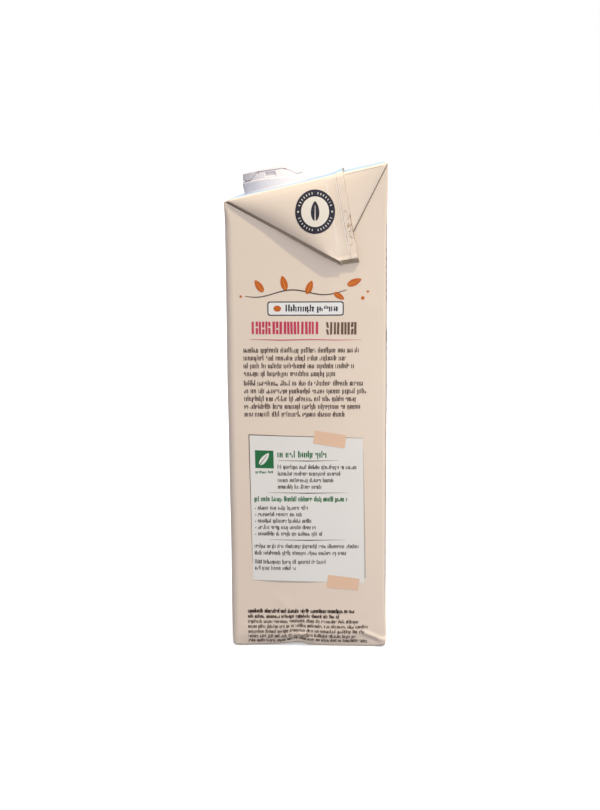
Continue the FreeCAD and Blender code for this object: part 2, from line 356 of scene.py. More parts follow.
body = {
    "halfWidth": 35.0,
    "lowHeight": 201.4,
    "highHeight": 217.0,
    "cornerRadius": {"lowNear": 3.4, "highNear": 0.9, "lowFar": 2.4, "highFar": 2.0},
    "topRadius": 0.8,
    "baseRadius": 1.2,
    "footTuck": 1.25,
    "nearBulge": 0.62,
    "farBulge": 0.70,
    "lowBulge": 0.70,
    "highBulge": 0.25,
    "topBulge": 0.35,
    "edgePull": 0.6,
    "unevenness": 0.07,
    "flapDepth": 1.2,
    "edgeReach": 12,
    "lowTighten": 0.3,
    "highTighten": 0.78,
}
# folds and dents from handling on the seen side: places across and up, widths and heights
nearCreases = [
    ((-4.4, 6.6), (2.2, 2.2), 0.7, 0.8),
    ((-11.5, 3.6), (-4.6, 6.2), 0.9, 0.45),
    ((24.4, 7.4), (32.0, 3.9), 0.75, 0.62),
    ((31.6, 3.9), (35.2, 3.2), 0.7, 0.5),
    ((23.6, 5.4), (31.4, 1.9), 0.9, -0.5),
    ((-13.4, 24.4), (-8.8, 17.6), 1.2, 0.34),
    ((-32, 12), (-22, 5), 1.5, 0.10),
    ((-11.5, 13.6), (-8.6, 11.2), 0.8, 0.22),
    ((-34.8, 167.3), (-31.0, 166.8), 0.5, -0.16),
    ((25.5, 152.5), (34.5, 148.0), 0.9, 0.12),
    ((10.5, 6.5), (19.5, 4.2), 1.2, 0.08),
]
nearDents = [
    ((-6.2, 2.4), (4.2, 2.8), -0.75),
    ((3.8, 4.2), (2.4, 2.6), -0.18),
    ((33.5, 2.0), (2.6, 1.6), 0.5),
]
slope = math.atan2(body["highHeight"] - body["lowHeight"], 2 * body["halfWidth"])
slopeLength = 2 * body["halfWidth"] / math.cos(slope)
midHeight = (body["lowHeight"] + body["highHeight"]) / 2


def bulge(across, z, height, reach):
    # the soft swelling of a filled panel, nothing at its edges
    swell = height * (1 - np.clip(np.abs(across) / body["halfWidth"], 0, 1) ** 2)
    return swell * np.sin(math.pi * np.clip(z / reach, 0, 1)) ** 0.6


def nearRelief(x, z):
    out = bulge(x, z, body["nearBulge"], 207)
    out += waves(x, z, 3, 24, 95, body["unevenness"])
    out += waves(x, z, 8, 7, 16, 0.022) * (0.3 + 0.7 * (1 - smooth(10, 45, z)))
    for start, stop, width, height in nearCreases:
        out += crease(x, z, start, stop, width, height)
    for place, size, height in nearDents:
        out += height * hump(x, place[0], size[0]) * hump(z, place[1], size[1])
    return out


def farRelief(x, z):
    out = bulge(x, z, body["farBulge"], 207)
    out -= 0.55 * (1 - smooth(0.5, 9, z)) ** 1.4 * (1 - (np.abs(x) / 36) ** 6)
    out += waves(x, z, 21, 24, 95, body["unevenness"])
    out += crease(x, z, (-21, 8), (-31, 3), 0.9, 0.22)
    out += crease(x, z, (3, 5.5), (9, 2.4), 0.8, 0.2)
    return out


def lowRelief(y, z):
    out = bulge(y, z, body["lowBulge"], 200)
    return out + waves(y, z, 33, 26, 95, body["unevenness"]) - 0.15 * (1 - smooth(0.5, 7, z))


def highRelief(y, z):
    out = bulge(y, z, body["highBulge"], 205) - 0.12 * hump(z, 60, 30) * hump(y, 4, 20)
    return out + waves(y, z, 47, 26, 95, 0.6 * body["unevenness"]) - 0.35 * (1 - smooth(0.5, 7, z))


def topRelief(x, y):
    half = body["halfWidth"]
    out = body["topBulge"] * (1 - np.clip(np.abs(y) / half, 0, 1) ** 2)
    out = out * (1 - np.clip(np.abs(x) / half, 0, 1) ** 4)
    out = out * smooth(0, 12, np.abs(x - 8.2)) - 0.1
    return out + waves(x, y, 55, 16, 60, 0.05)


def baseLift(x, y):
    # how far the lower edge stands off the table along the two sides with folded flaps
    nearLift = np.interp(x, [-35, -30, -18.8, -11, -5.5, -2.4, 0.8, 4, 12.7, 16.8, 26, 27.5, 33, 34.2, 35],
                         [0.3, 0.03, 0.2, 0.7, 1.5, 1, 0.5, 0.35, 0.05, 0.02, 0.02, 0.25, 0.5, 0.9, 1.6])
    farLift = np.interp(x, [-35, -33, -20, -8, 2, 9, 20, 31, 35],
                        [2.0, 0.7, 0.2, 0.1, 0.9, 0.6, 0.1, 0.5, 1.4])
    flat = body["flapDepth"] + 0.05
    depth = smooth(25, 32, np.abs(y))
    lift = np.where(y < 0, nearLift, farLift)
    return flat + (lift - flat) * depth


def bodyCorner(x, y):
    radii = body["cornerRadius"]
    near = np.where(x < 0, radii["lowNear"], radii["highNear"])
    far = np.where(x < 0, radii["lowFar"], radii["highFar"])
    return np.where(y < 0, near, far)


def bodyPoints(x, y, z):
    # from the surface of a plain square block, midHeight tall, to the body with its rounded edges
    half = body["halfWidth"]
    side = bodyCorner(x, y)
    reach = body["edgeReach"]
    tighten = body["lowTighten"] * smooth(reach, 0, z)
    tighten = tighten + body["highTighten"] * smooth(midHeight - reach, midHeight, z)
    side = side * (1 - tighten)
    upright = np.where(z > midHeight / 2, body["topRadius"], body["baseRadius"])
    coreX = np.clip(x, -half + side, half - side)
    coreY = np.clip(y, -half + side, half - side)
    coreZ = np.clip(z, upright, midHeight - upright)
    nx = (x - coreX) / side
    ny = (y - coreY) / side
    nz = (z - coreZ) / upright
    length = np.maximum(np.sqrt(nx * nx + ny * ny + nz * nz), 1e-9)
    nx, ny, nz = nx / length, ny / length, nz / length
    px = coreX + nx * side
    py = coreY + ny * side
    pz = coreZ + nz * upright
    out = np.zeros_like(px)
    out += np.clip(-ny, 0, 1) ** 2 * nearRelief(px, pz)
    out += np.clip(ny, 0, 1) ** 2 * farRelief(px, pz)
    out += np.clip(-nx, 0, 1) ** 2 * lowRelief(py, pz)
    out += np.clip(nx, 0, 1) ** 2 * highRelief(py, pz)
    out += np.clip(nz, 0, 1) ** 2 * np.where(pz > 100, topRelief(px, py), 0)
    px += nx * out
    py += ny * out
    pz += np.clip(nz, 0, 1) * out
    # the foot of the seen side tucks in towards the fold under the base
    tuck = body["footTuck"] * (1 - smooth(0, 7.5, pz)) ** 1.3 * (1 - (np.abs(px) / 37) ** 4)
    py += tuck * (1 - 0.75 * smooth(28, 34, px)) * smooth(-20, -33, py)
    # the near upright edge on the high side is drawn in a little between its two ends
    pull = body["edgePull"] * smooth(6, 26, pz) * (1 - smooth(172, 200, pz))
    px -= pull * smooth(28, 35, px) * smooth(-18, -33, py)
    pz += baseLift(px, py) * (1 - smooth(0, 9, pz))
    rise = (body["highHeight"] - body["lowHeight"]) / (2 * half)
    pz = pz * (midHeight + rise * px) / midHeight
    folds = np.clip(2.2 - np.abs(nx) ** 3 - np.abs(ny) ** 3 - np.abs(nz) ** 3, 1, 2) - 1
    return np.stack([px, py, pz], -1), folds * 1.6


def makeBody():
    linesX = spread([(-35, 0), (-31.4, 8), (-24, 6), (24, 28), (33.2, 12), (35, 6)])
    linesY = spread([(-35, 0), (-33.2, 5), (-31.0, 3), (-22, 6), (22, 20), (31.5, 7), (35, 6)])
    linesZ = spread([(0, 0), (1.4, 5), (12, 16), (30, 13), (180, 70), (204, 14), (midHeight - 1, 6),
                     (midHeight, 5)])
    lattice = {}
    places = []
    faces = []

    def vertex(i, j, k):
        if (i, j, k) not in lattice:
            lattice[i, j, k] = len(places)
            places.append((linesX[i], linesY[j], linesZ[k]))
        return lattice[i, j, k]

    def quad(*corners):
        faces.append(tuple(vertex(*corner) for corner in corners))

    nx, ny, nz = len(linesX) - 1, len(linesY) - 1, len(linesZ) - 1
    for k in range(nz):
        for i in range(nx):
            quad((i, 0, k), (i + 1, 0, k), (i + 1, 0, k + 1), (i, 0, k + 1))
            quad((i + 1, ny, k), (i, ny, k), (i, ny, k + 1), (i + 1, ny, k + 1))
        for j in range(ny):
            quad((0, j + 1, k), (0, j, k), (0, j, k + 1), (0, j + 1, k + 1))
            quad((nx, j, k), (nx, j + 1, k), (nx, j + 1, k + 1), (nx, j, k + 1))
    for i in range(nx):
        for j in range(ny):
            quad((i, j, nz), (i + 1, j, nz), (i + 1, j + 1, nz), (i, j + 1, nz))
            quad((i, j + 1, 0), (i + 1, j + 1, 0), (i + 1, j, 0), (i, j, 0))
    block = np.array(places)
    points, folds = bodyPoints(block[:, 0], block[:, 1], block[:, 2])
    piece = makePiece("cartonBody", points, faces, [boardSkin], sharp=60, fold=folds)
    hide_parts("carton")
    return BVHTree.FromPolygons(points.tolist(), faces)


bodySurface = makeBody()
print("body made")


# ---- folded ears and the seal fin ----

ear = {
    "length": 38.0,
    "skew": 0.04,
    "inset": 0.35,
    "tipWidth": 1.2,
    "highRake": 29.5,
    "seal": 44.3,
    "finWidth": 7.8,
    "lowRoot": 0.8,
    "lowGrowth": 4.25,
    "highRoot": 1.1,
    "highGrowth": 2.7,
    "puff": 2.7,
    "foldFall": 0.95,
    "fallReach": 9.0,
    "foldSine": 0.66,
    "bandRoot": 0.55,
    "bandGrowth": 1.2,
    "hem": 0.8,
    "hemFall": 0.45,
    "bend": 1.0,
    "rootDepth": 0.4,
    "farthest": 4.96,
    "turnSteps": 7,
    "lastShare": 0.995,
}
fin = {
    "root": 0.02,
    "edgeStand": 0.80,
    "step": 0.28,
    "stepPlace": 4.5,
    "ridge": 0.09,
    "topRoot": 0.18,
    "topEdge": 1.5,
    "thickness": 0.65,
    "endCut": 2.0,
    "endDrop": 2.4,
    "endRake": 0.085,
    "turnIn": 1.8,
    "nearStep": 0.38,
    "farStep": 0.8,
}
# places across the fin, from its seal to its free edge, closer together at the step
finSkin = np.concatenate([[-0.15, 0, 0.12, 0.3, 0.6, 1.1, 1.8, 2.6, 3.4, 4.0], np.linspace(4.15, 4.95, 9),
                          [5.3, 5.8, 6.3, 6.8, 7.2, 7.5, 7.7, 7.8]])


def earPlace(u, v, w, side):
    # along the slope, down from the top edge, out from the side panel
    cosS, sinS = math.cos(slope), math.sin(slope)
    x = -body["halfWidth"] + cosS * u + (sinS - ear["skew"]) * v
    z = body["lowHeight"] + sinS * u - cosS * v
    return np.stack(np.broadcast_arrays(x, side * (body["halfWidth"] + w), z), -1)


def slopePlace(u, y, h):
    # along the slope, across the pack, up from the top panel
    x = -body["halfWidth"] + math.cos(slope) * u - math.sin(slope) * h
    z = body["lowHeight"] + math.sin(slope) * u + math.cos(slope) * h
    return np.stack(np.broadcast_arrays(x, y, z), -1)


def earSpan(s):
    # where the low and the high fold lie, s being the share of the way down the ear
    low = ear["inset"] + (ear["seal"] - ear["tipWidth"] / 2 - ear["inset"]) * s
    high = np.maximum(slopeLength - ear["highRake"] * s, ear["seal"] + ear["tipWidth"] / 2)
    return low, high


def earStand(t, s, side):
    # how far the outer skin stands off the side panel, t being the share from the low to the high fold
    s = np.clip(s, 0, 1)
    t = np.clip(t, 0, 1)
    low = ear["lowRoot"] + ear["lowGrowth"] * s ** 1.1
    high = ear["highRoot"] + ear["highGrowth"] * s ** 5
    puff = ear["puff"] * np.sin(math.pi * t ** 0.78) * np.sin(math.pi * s ** 0.52) ** 0.9
    share = t ** 1.15
    stand = low * (1 - share) + high * share + puff
    # the skin falls away towards the low fold
    lowEdge, highEdge = earSpan(np.minimum(s, ear["lastShare"]))
    inFrom = t * (highEdge - lowEdge) * ear["foldSine"]
    fall = np.clip(1 - inFrom / ear["fallReach"], 0, 1) ** 2 * np.minimum(1, s * 3)
    seed = 61 if side < 0 else 71
    uneven = waves(t * 60, s * ear["length"], seed, 14, 45, 0.06) * np.minimum(1, s * 5)
    return stand - ear["foldFall"] * fall + uneven


def earSection(s, side, across):
    # a loop round the ear: the outer skin, the crisp low edge turned under it, the inner skin
    low, high = earSpan(s)
    band = (ear["bandRoot"] + ear["bandGrowth"] * s ** 0.55) / ear["foldSine"]
    band = min(band, 0.9 * (high - low))
    skinU = low + band + (high - low - band) * across
    hem = np.clip((high - skinU) / ear["hem"], 0, 1)
    skinW = earStand((skinU - low) / (high - low), s, side)
    skinW = skinW - ear["hemFall"] * (1 - np.sqrt(hem * (2 - hem)))
    turn = np.linspace(0, 1, ear["turnSteps"] + 1)[1:]
    depth = min(0.5 + 2.3 * s ** 0.7, skinW[0] - 0.05)
    edgeU = skinU[0] - band * turn ** 0.9
    edgeW = skinW[0] - depth * turn ** 1.25
    innerU = low + (high - low) * across
    innerW = np.maximum(np.minimum(edgeW[-1] - 0.02, skinW - 0.25), -0.3)
    loopU = np.concatenate([skinU[::-1], edgeU, innerU])
    loopW = np.concatenate([skinW[::-1], edgeW, innerW])
    return loopU, np.full_like(loopU, ear["length"] * s), loopW


def makeEar(name, side):
    bend, turnSteps, deep = ear["bend"], ear["turnSteps"], ear["rootDepth"]
    rows = np.concatenate([np.linspace(bend / ear["length"], 0.1, 5)[:-1], np.linspace(0.1, 0.9, 30),
                           np.linspace(0.9, 1, 6)[1:]])
    across = np.concatenate([np.linspace(0, 0.12, 6)[:-1], np.linspace(0.12, 1, 38)])
    skinCount = len(across)
    sections = [earSection(s, side, across) for s in rows]
    # the root goes over the top edge on to the top panel, with its under skin sunk in the board
    rootU, _, rootW = sections[0]
    under = np.concatenate([np.zeros(skinCount), np.linspace(0, deep, turnSteps + 1)[1:],
                            np.full(skinCount, deep)])
    root = []
    for angle in np.linspace(0, math.pi / 2, 8)[1:]:
        rootV = bend * (1 - math.sin(angle)) + (under - 0.05) * math.sin(angle)
        root.append((rootU, rootV, rootW * math.cos(angle)))
    for inward, sunk in ((0.8, -0.05), (1.5, -0.03), (1.8, 0.30), (2.8, 0.80)):
        root.append((rootU, under + sunk, np.full_like(rootU, -inward)))
    sections = root[::-1] + sections
    count = len(rootU)
    points = np.concatenate([earPlace(u, v, w, side) for u, v, w in sections])
    faces = tubeFaces(len(sections), count) + endFaces(len(sections), count)[1:]
    if side > 0:
        faces = [face[::-1] for face in faces]
    folds = np.zeros((len(sections), count))
    folds[:, skinCount:skinCount + turnSteps] = 0.8
    folds[:, 0] = 0.6
    folds[len(root) - 6:len(root), :] = 0.35
    folds[:3, :] = 0.0
    # painted shade: the turned low edge and the tip take a darker board colour standing in for the shade
    # under the ear
    marks = []
    for face in faces[:-1]:
        row = min(face) // count
        onEdge = skinCount - 1 <= min(face[0], face[1]) % count < skinCount + turnSteps - 1
        marks.append(1 if (onEdge and row >= len(root) - 1) or row >= len(sections) - 3 else 0)
    marks.append(1)
    piece = makePiece(name, points, faces, [boardSkin, foldShadeSkin], marks, sharp=40, fold=folds.ravel())
    return BVHTree.FromPolygons(points.tolist(), faces)


nearEarSurface = makeEar("nearEar", -1)
makeEar("farEar", 1)
print("ears made")


def finProfile(r):
    # the fin's outer skin above the ear, r being the way from the seal to the free edge
    step = fin["stepPlace"]
    share = np.clip(r / ear["finWidth"], 0, 1)
    rise = fin["root"] + (fin["edgeStand"] - fin["root"] - fin["step"]) * share ** 0.9
    rise = rise + fin["step"] * smooth(step + 0.12, step + 0.34, r)
    ridges = hump(r, step - 0.2, 0.3) - 0.5 * hump(r, step + 0.1, 0.12) + hump(r, 0.25, 0.4)
    return (rise + fin["ridge"] * ridges) * smooth(-0.2, 0.15, r)


def skinStand(u, v, side):
    # the outermost skin over the side: the ear, and the fin where it lies on the ear
    s = v / ear["length"]
    low, high = earSpan(np.clip(s, 0, ear["lastShare"]))
    stand = earStand((u - low) / (high - low), s, side) - 0.12 * np.clip(u - high, 0, 20)
    return np.minimum(stand + finProfile(u - ear["seal"]), ear["farthest"])


def finDown(side, v, sunk=0.0):
    # a row of the fin on an ear: places along the slope, outer skin, underside
    seed = 5 if side < 0 else 9
    u = ear["seal"] + finSkin
    # the small wrinkles in the outer lip and its wavering free edge
    wrinkle = 0.085 * np.sin(v * 4.4 + 1.9 * np.sin(v * 1.7 + seed) + 1.9 * finSkin) * hump(v, 22.5, 5.0)
    wrinkle = wrinkle + 0.05 * np.sin(v * 0.62 + seed) * smooth(1.5, 6, v)
    outer = skinStand(u, v, side) + smooth(4.9, 6.6, finSkin) * wrinkle
    outer = np.minimum(outer, ear["farthest"]) - sunk
    edge = 0.14 * math.sin(v * 0.9 + seed) + 0.1 * math.sin(v * 2.7) * math.exp(-((v - 22) / 7) ** 2)
    return u + edge * smooth(5, ear["finWidth"], finSkin), outer, outer - fin["thickness"]


def finOver(y):
    # a row of the fin on the top panel, with heights above the panel
    step = fin["stepPlace"]
    share = np.clip(finSkin / ear["finWidth"], 0, 1)
    shore = math.exp(-((33 - abs(y)) / 5.0) ** 2)
    lift = fin["topEdge"] * (0.84 + 0.16 * math.sin(y * 0.21 + 1.0)) * (1 - 0.35 * shore)
    outer = fin["topRoot"] + (lift - fin["topRoot"]) * share ** 1.25
    outer = outer + 0.2 * smooth(step + 0.1, step + 0.34, finSkin) + 0.1 * hump(finSkin, step - 0.2, 0.3)
    return ear["seal"] + finSkin + 0.12 * math.sin(y * 0.33), outer, outer - 0.30 - 0.25 * share


def finLoop(u, outer, under, place):
    # from seal to free edge, round the cut edge, back along the underside
    rimU = [u[-1] + 0.10, u[-1] + 0.12]
    rim = [outer[-1] - 0.16, under[-1] + 0.12]
    return place(np.concatenate([u, rimU, u[::-1]]), np.concatenate([outer, rim, under[::-1]]))


def finStrip(side, step):
    # the rows from the cut end on an ear to the bend over the top edge, and which of them are cut board
    tip, cut, turnIn = ear["length"], fin["endCut"], fin["turnIn"]
    rows, raw = [], []
    for drop, sunk in ((0, fin["endDrop"]), (0.15, fin["endDrop"] - 0.14), (cut - 0.12, 0.12), (cut, 0)):
        u, outer, under = finDown(side, tip - drop, sunk)
        if sunk:
            under = np.full_like(under, np.min(outer) - 0.5)

        def endPlace(p, q, v=tip - drop):
            return earPlace(p, v + fin["endRake"] * (p - ear["seal"]), q, side)

        rows.append(finLoop(u, outer, under, endPlace))
        raw.append(sunk > 0)
    for v in np.arange(tip - cut - step, turnIn + 0.1, -step):
        u, outer, under = finDown(side, v)
        rows.append(finLoop(u, outer, under, lambda p, q, v=v: earPlace(p, v, q, side)))
        raw.append(False)
    startU, startOuter, startUnder = finDown(side, turnIn)
    topU, topOuter, topUnder = finOver(side * (body["halfWidth"] - turnIn))
    for share in np.linspace(0, 1, 15)[:-1]:
        angle = share * math.pi / 2
        outer, under = (-turnIn + (turnIn + w) * math.cos(angle) for w in (startOuter, startUnder))
        outerV, underV = (turnIn - (turnIn + h) * math.sin(angle) for h in (topOuter, topUnder))
        u = startU + (topU - startU) * share
        loopU = np.concatenate([u, u[-1:] + 0.10, u[-1:] + 0.12, u[::-1]])
        loopV = np.concatenate([outerV, outerV[-1:] + 0.05, underV[-1:] - 0.05, underV[::-1]])
        loopW = np.concatenate([outer, outer[-1:] - 0.1, under[-1:] + 0.1, under[::-1]])
        rows.append(earPlace(loopU, loopV, loopW, side))
        raw.append(False)
    return rows, raw


def makeSealFin():
    endRows = 4
    skinCount = len(finSkin)
    rows, raw = finStrip(-1, fin["nearStep"])
    far, farRaw = finStrip(1, fin["farStep"])
    topStart = len(rows) - endRows
    inner = body["halfWidth"] - fin["turnIn"]
    for y in np.concatenate([np.linspace(-inner, -27, 14), np.linspace(-27, 27, 32)[1:-1],
                             np.linspace(27, inner, 12)]):
        u, outer, under = finOver(y)
        rows.append(finLoop(u, outer, under, lambda p, q, y=y: slopePlace(p, y, q)))
        raw.append(False)
    topStop = len(rows) + endRows
    rows += far[::-1]
    raw += [False] + farRaw[::-1][1:]
    count = len(rows[0])
    faces = tubeFaces(len(rows), count) + endFaces(len(rows), count)
    # cut edges and ends take raw board; the fin's outer skin over the top panel takes the same painted
    # reflection as the top
    marks = []
    for row in range(len(rows) - 1):
        for column in range(count):
            edge = skinCount - 1 <= column < skinCount + 2 or column == count - 1
            if edge or raw[row] or row >= len(rows) - endRows:
                marks.append(1)
            else:
                marks.append(2 if topStart <= row < topStop and column < skinCount else 0)
    marks += [1, 1]
    # rubbed lighter along the seal, the step and the free edge: wear together with painted highlight on the
    # fold ridges
    folds = np.zeros((len(rows), count))
    folds[:, 1:4] = 4.0
    folds[:, 10:12] = 4.0
    folds[:, 14:16] = 3.0
    folds[:, skinCount - 3:skinCount] = 3.0
    points = np.concatenate(rows)
    piece = makePiece("topSealFin", points, faces, [boardSkin, rawEdge, inkSkins["sky"]], marks, sharp=45,
                      fold=folds.ravel())
    return BVHTree.FromPolygons(points.tolist(), faces)


finSurface = makeSealFin()
print("seal fin made")


# ---- base folds ----

base = {
    "flapReach": 30.6,
    "flapHalf": 33.2,
    "flapInset": 1.2,
    "flapTip": 0.5,
    "flapFloor": 0.42,
    "flapThickness": 1.15,
    "hem": 0.8,
    "hemLift": 0.28,
    "finWidth": 7.8,
    "finHeight": 0.62,
    "finHalf": 33.0,
    "finRoof": 1.25,
    "finSteps": 12,
}


def flatLoop(x, y, low, high):
    # a loop at one y, along the lower face and back along the upper
    loopX = np.concatenate([x, x[::-1]])
    return np.stack([loopX, np.full_like(loopX, y), np.concatenate([low, high])], -1)


def makeBaseFlap(name, side):
    # a triangle of board folded in under the base, rounded along its folds
    rows = []
    for s in np.linspace(0, 1, 26):
        half = base["flapHalf"] * (1 - s) + base["flapTip"]
        y = -base["flapReach"] + (base["flapReach"] - base["flapInset"]) * s
        x = np.linspace(-half, half, 22)
        hem = np.clip((half - np.abs(x)) / base["hem"], 0, 1)
        wave = 0.10 * np.sin(x * 0.21 + side) + 0.05 * np.sin(y * 0.5)
        low = base["flapFloor"] - base["hemLift"] * np.sqrt(hem * (2 - hem))
        low = low + 0.5 * np.maximum(wave, 0) + 0.45 * smooth(-27, -base["flapReach"], y)
        high = np.full_like(x, base["flapThickness"] + 0.2)
        rows.append(flatLoop(x, y * -side, low, high))
    count = len(rows[0])
    faces = tubeFaces(len(rows), count) + endFaces(len(rows), count)
    if side > 0:
        faces = [face[::-1] for face in faces]
    piece = makePiece(name, np.concatenate(rows), faces, [boardSkin], sharp=40)


def makeBaseFin():
    # the lower seal fin, pressed flat under the base
    width, steps = base["finWidth"], base["finSteps"]
    x = np.linspace(0, width, steps)
    rows = []
    for y in np.linspace(-base["finHalf"], base["finHalf"], 40):
        low = base["finRoof"] - base["finHeight"] * (0.55 + 0.35 * x / width) + 0.05 * math.sin(y * 0.4)
        rows.append(flatLoop(x, y, low, np.full_like(x, base["finRoof"] + 0.1)))
    count = len(rows[0])
    faces = [face[::-1] for face in tubeFaces(len(rows), count) + endFaces(len(rows), count)]
    marks = [1 if steps - 1 <= face[0] % count <= steps else 0 for face in faces[:-2]] + [1, 1]
    piece = makePiece("baseSealFin", np.concatenate(rows), faces, [boardSkin, rawEdge], marks, sharp=40)


makeBaseFlap("nearBaseFlap", -1)
makeBaseFlap("farBaseFlap", 1)
makeBaseFin()
print("base made")


# ---- pouring spout and screw closure ----

closure = {
    "setback": 20.7,
    "flangeRadius": 14.6,
    "flangeHeight": 0.8,
    "boreRadius": 8.0,
    "ringRadius": 14.32,
    "ringHeight": 3.95,
    "radius": 14.15,
    "height": 9.2,
    "taper": 0.9,
    "rim": 0.6,
    "dish": 0.16,
    "slitHeight": 4.75,
    "slitRise": 3.25,
    "slitTilt": 1.1,
    "groove": 0.34,
    "grooveDepth": 0.8,
    "windowWidth": 4.4,
    "windowShift": -0.1,
    "windowDepth": 1.1,
    "nickDepth": 0.5,
}
turns = np.linspace(0, 2 * math.pi, 289)[:-1]
tilt = closure["slitTilt"] * np.sin(turns)


def closurePlace(radius, angle, height):
    # angle 0 faces the seen side, growing towards the high edge
    return slopePlace(closure["setback"] + radius * np.sin(angle), -radius * np.cos(angle), height)


def wallRadius(h):
    return closure["radius"] - closure["taper"] * np.clip((h - 3) / (closure["height"] - 3), 0, 1) ** 1.2


def pressedIn(radius, h):
    # the small window with two legs, and the two nicks of the tether, pressed into the wall
    half = closure["windowWidth"] / 2
    sideways = radius * np.sin(turns) - closure["windowShift"]
    level = h + tilt
    window = smooth(half + 0.12, half - 0.12, np.abs(sideways))
    window = window * smooth(5.45, 5.75, level) * smooth(7.55, 7.25, level)
    legs = smooth(0.3, 0.12, np.abs(np.abs(sideways) - half + 0.15))
    legs = legs * smooth(4.5, 4.8, level) * smooth(5.9, 5.6, level)
    nicks = smooth(0.3, 0.1, np.abs(sideways - 6.6)) + smooth(0.3, 0.1, np.abs(sideways + 5.5))
    nicks = nicks * smooth(6.7, 7.0, level) * smooth(7.9, 7.7, level)
    depth = np.maximum.reduce([closure["windowDepth"] * window, closure["nickDepth"] * legs,
                               closure["nickDepth"] * nicks])
    return depth * (np.cos(turns) > 0)


def makeCap():
    degrees = np.degrees((turns + math.pi) % (2 * math.pi) - math.pi)
    arch = smooth(-48, -22, degrees) * (1 - smooth(24, 56, degrees))
    slit = closure["slitHeight"] + closure["slitRise"] * arch - tilt
    ledge = closure["ringHeight"] - 0.9 * np.sin(turns) + 0.85 * hump(degrees, -20, 34)
    low = closure["flangeHeight"] - 0.05
    top = closure["height"] - closure["rim"]
    ring, half = closure["ringRadius"], closure["groove"] / 2
    rows = []
    # the tamper ring and the ledge over it
    for share in np.linspace(0, 1, 9):
        h = low + (ledge - 0.25 - low) * share
        rows.append((ring - 0.06 * (1 - smooth(0, 0.4, h - low)), h))
    for share in (0.35, 0.75, 1.0):
        h = ledge - 0.25 + 0.35 * share
        rows.append((ring + (wallRadius(h) - ring) * share ** 1.6, h))
    # the wall up to the slit, the slit, the wall above it
    for share in np.linspace(0, 1, 12)[1:]:
        h = ledge + 0.1 + (slit - half - ledge - 0.1) * share
        rows.append((wallRadius(h), h))
    for share, depth in ((0.06, 0.75), (0.2, 1.0), (0.8, 1.0), (0.94, 0.75)):
        h = slit - half + 2 * half * share
        rows.append((wallRadius(h) - closure["grooveDepth"] * depth, h))
    for share in np.linspace(0, 1, 10):
        h = slit + half + (top - slit - half) * share
        rows.append((wallRadius(h) - 0.03, h))
    # the rounded rim and the faintly dished roof
    for angle in np.linspace(0, math.pi / 2, 9)[1:]:
        radius = wallRadius(top) - 0.03 - closure["rim"] * (1 - math.cos(angle))
        rows.append((radius, top + closure["rim"] * math.sin(angle)))
    edge = rows[-1][0]
    for share in (0.97, 0.93, 0.8, 0.6, 0.4, 0.2, 0.08):
        rows.append((edge * share, closure["height"] - closure["dish"] * smooth(1.0, 0.9, share)))
    placed = []
    for radius, h in rows:
        radius = radius + 0 * turns
        h = h + 0 * turns
        placed.append(closurePlace(radius - pressedIn(radius, h), turns, h))
    count = len(turns)
    faces = tubeFaces(len(placed), count) + endFaces(len(placed), count)[::-1]
    cap = makePiece("screwClosure", np.concatenate(placed), faces, [closureSkin], sharp=42)
    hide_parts("screw_cap")


def makeSpout():
    wide, thick, bore = closure["flangeRadius"], closure["flangeHeight"], closure["boreRadius"]
    outline = [(bore, -0.3), (wide, -0.1), (wide, thick - 0.3), (wide - 0.08, thick - 0.1),
               (wide - 0.3, thick), (bore, thick + 0.1)]
    rows = [closurePlace(radius, turns, h) for radius, h in outline]
    faces = tubeFaces(len(rows), len(turns))
    spout = makePiece("pourSpout", np.concatenate(rows), faces, [closureSkin], sharp=42)
    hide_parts("spout")


makeCap()
makeSpout()
print("closure made")


# ---- print and painted light: thin coloured shapes lying on the board ----

# how far each layer of print and painted light stands off the board
layers = {"under": 0.025, "field": 0.05, "mark": 0.09, "over": 0.13, "top": 0.17}
# height, pitch and weight of each kind of lettering
lettering = {
    "badge": (2.1, 1.02, 0.55),
    "text": (1.75, 0.66, 0.33),
    "tile": (0.85, 0.55, 0.32),
    "noteTitle": (2.2, 0.84, 0.50),
    "noteHeading": (1.7, 0.58, 0.38),
    "note": (1.45, 0.55, 0.29),
    "motto": (2.0, 0.9, 0.45),
    "button": (2.4, 1.05, 0.55),
    "side": (1.7, 0.66, 0.32),
    "tableTitle": (2.0, 0.85, 0.42),
    "table": (1.6, 0.62, 0.31),
    "highFoot": (1.6, 0.62, 0.30),
    "card": (1.5, 0.58, 0.30),
    "farFoot": (1.4, 0.54, 0.28),
}


def sidePlace(side):
    # turns (across, up) as seen from outside into a point just off that side of the body
    aim = {
        "near": lambda a, z: ((a, -60, z), (0, 1, 0)),
        "far": lambda a, z: ((-a, 60, z), (0, -1, 0)),
        "low": lambda a, z: ((-60, -a, z), (1, 0, 0)),
        "high": lambda a, z: ((60, a, z), (-1, 0, 0)),
        "top": lambda a, b: ((a, b, 300), (0, 0, -1)),
    }[side]

    def place(a, z, lift):
        start, ahead = aim(a, z)
        hit = bodySurface.ray_cast(Vector(start), Vector(ahead))[0]
        return hit - Vector(ahead) * lift

    return place


def earPrintPlace(a, z, lift):
    # the outermost skin of the near ear and the fin on it
    spots = []
    for surface in (nearEarSurface, finSurface):
        hit = surface.ray_cast(Vector((a, -60, z)), Vector((0, 1, 0)))[0]
        if hit is not None:
            spots.append(hit)
    return min(spots, key=lambda spot: spot.y) - Vector((0, lift, 0))


def earSpot(u, v, side=-1):
    # a point in the plane of an ear, across and up as seen from outside
    x, _, z = earPlace(u, v, 0, side)
    return float(x) * -side, float(z)


def newSheet(place):
    return {"place": place, "points": [], "faces": [], "inksAndPaintedLight": []}


def addPoint(sheet, a, z, layer):
    sheet["points"].append(sheet["place"](a, z, layers[layer]))


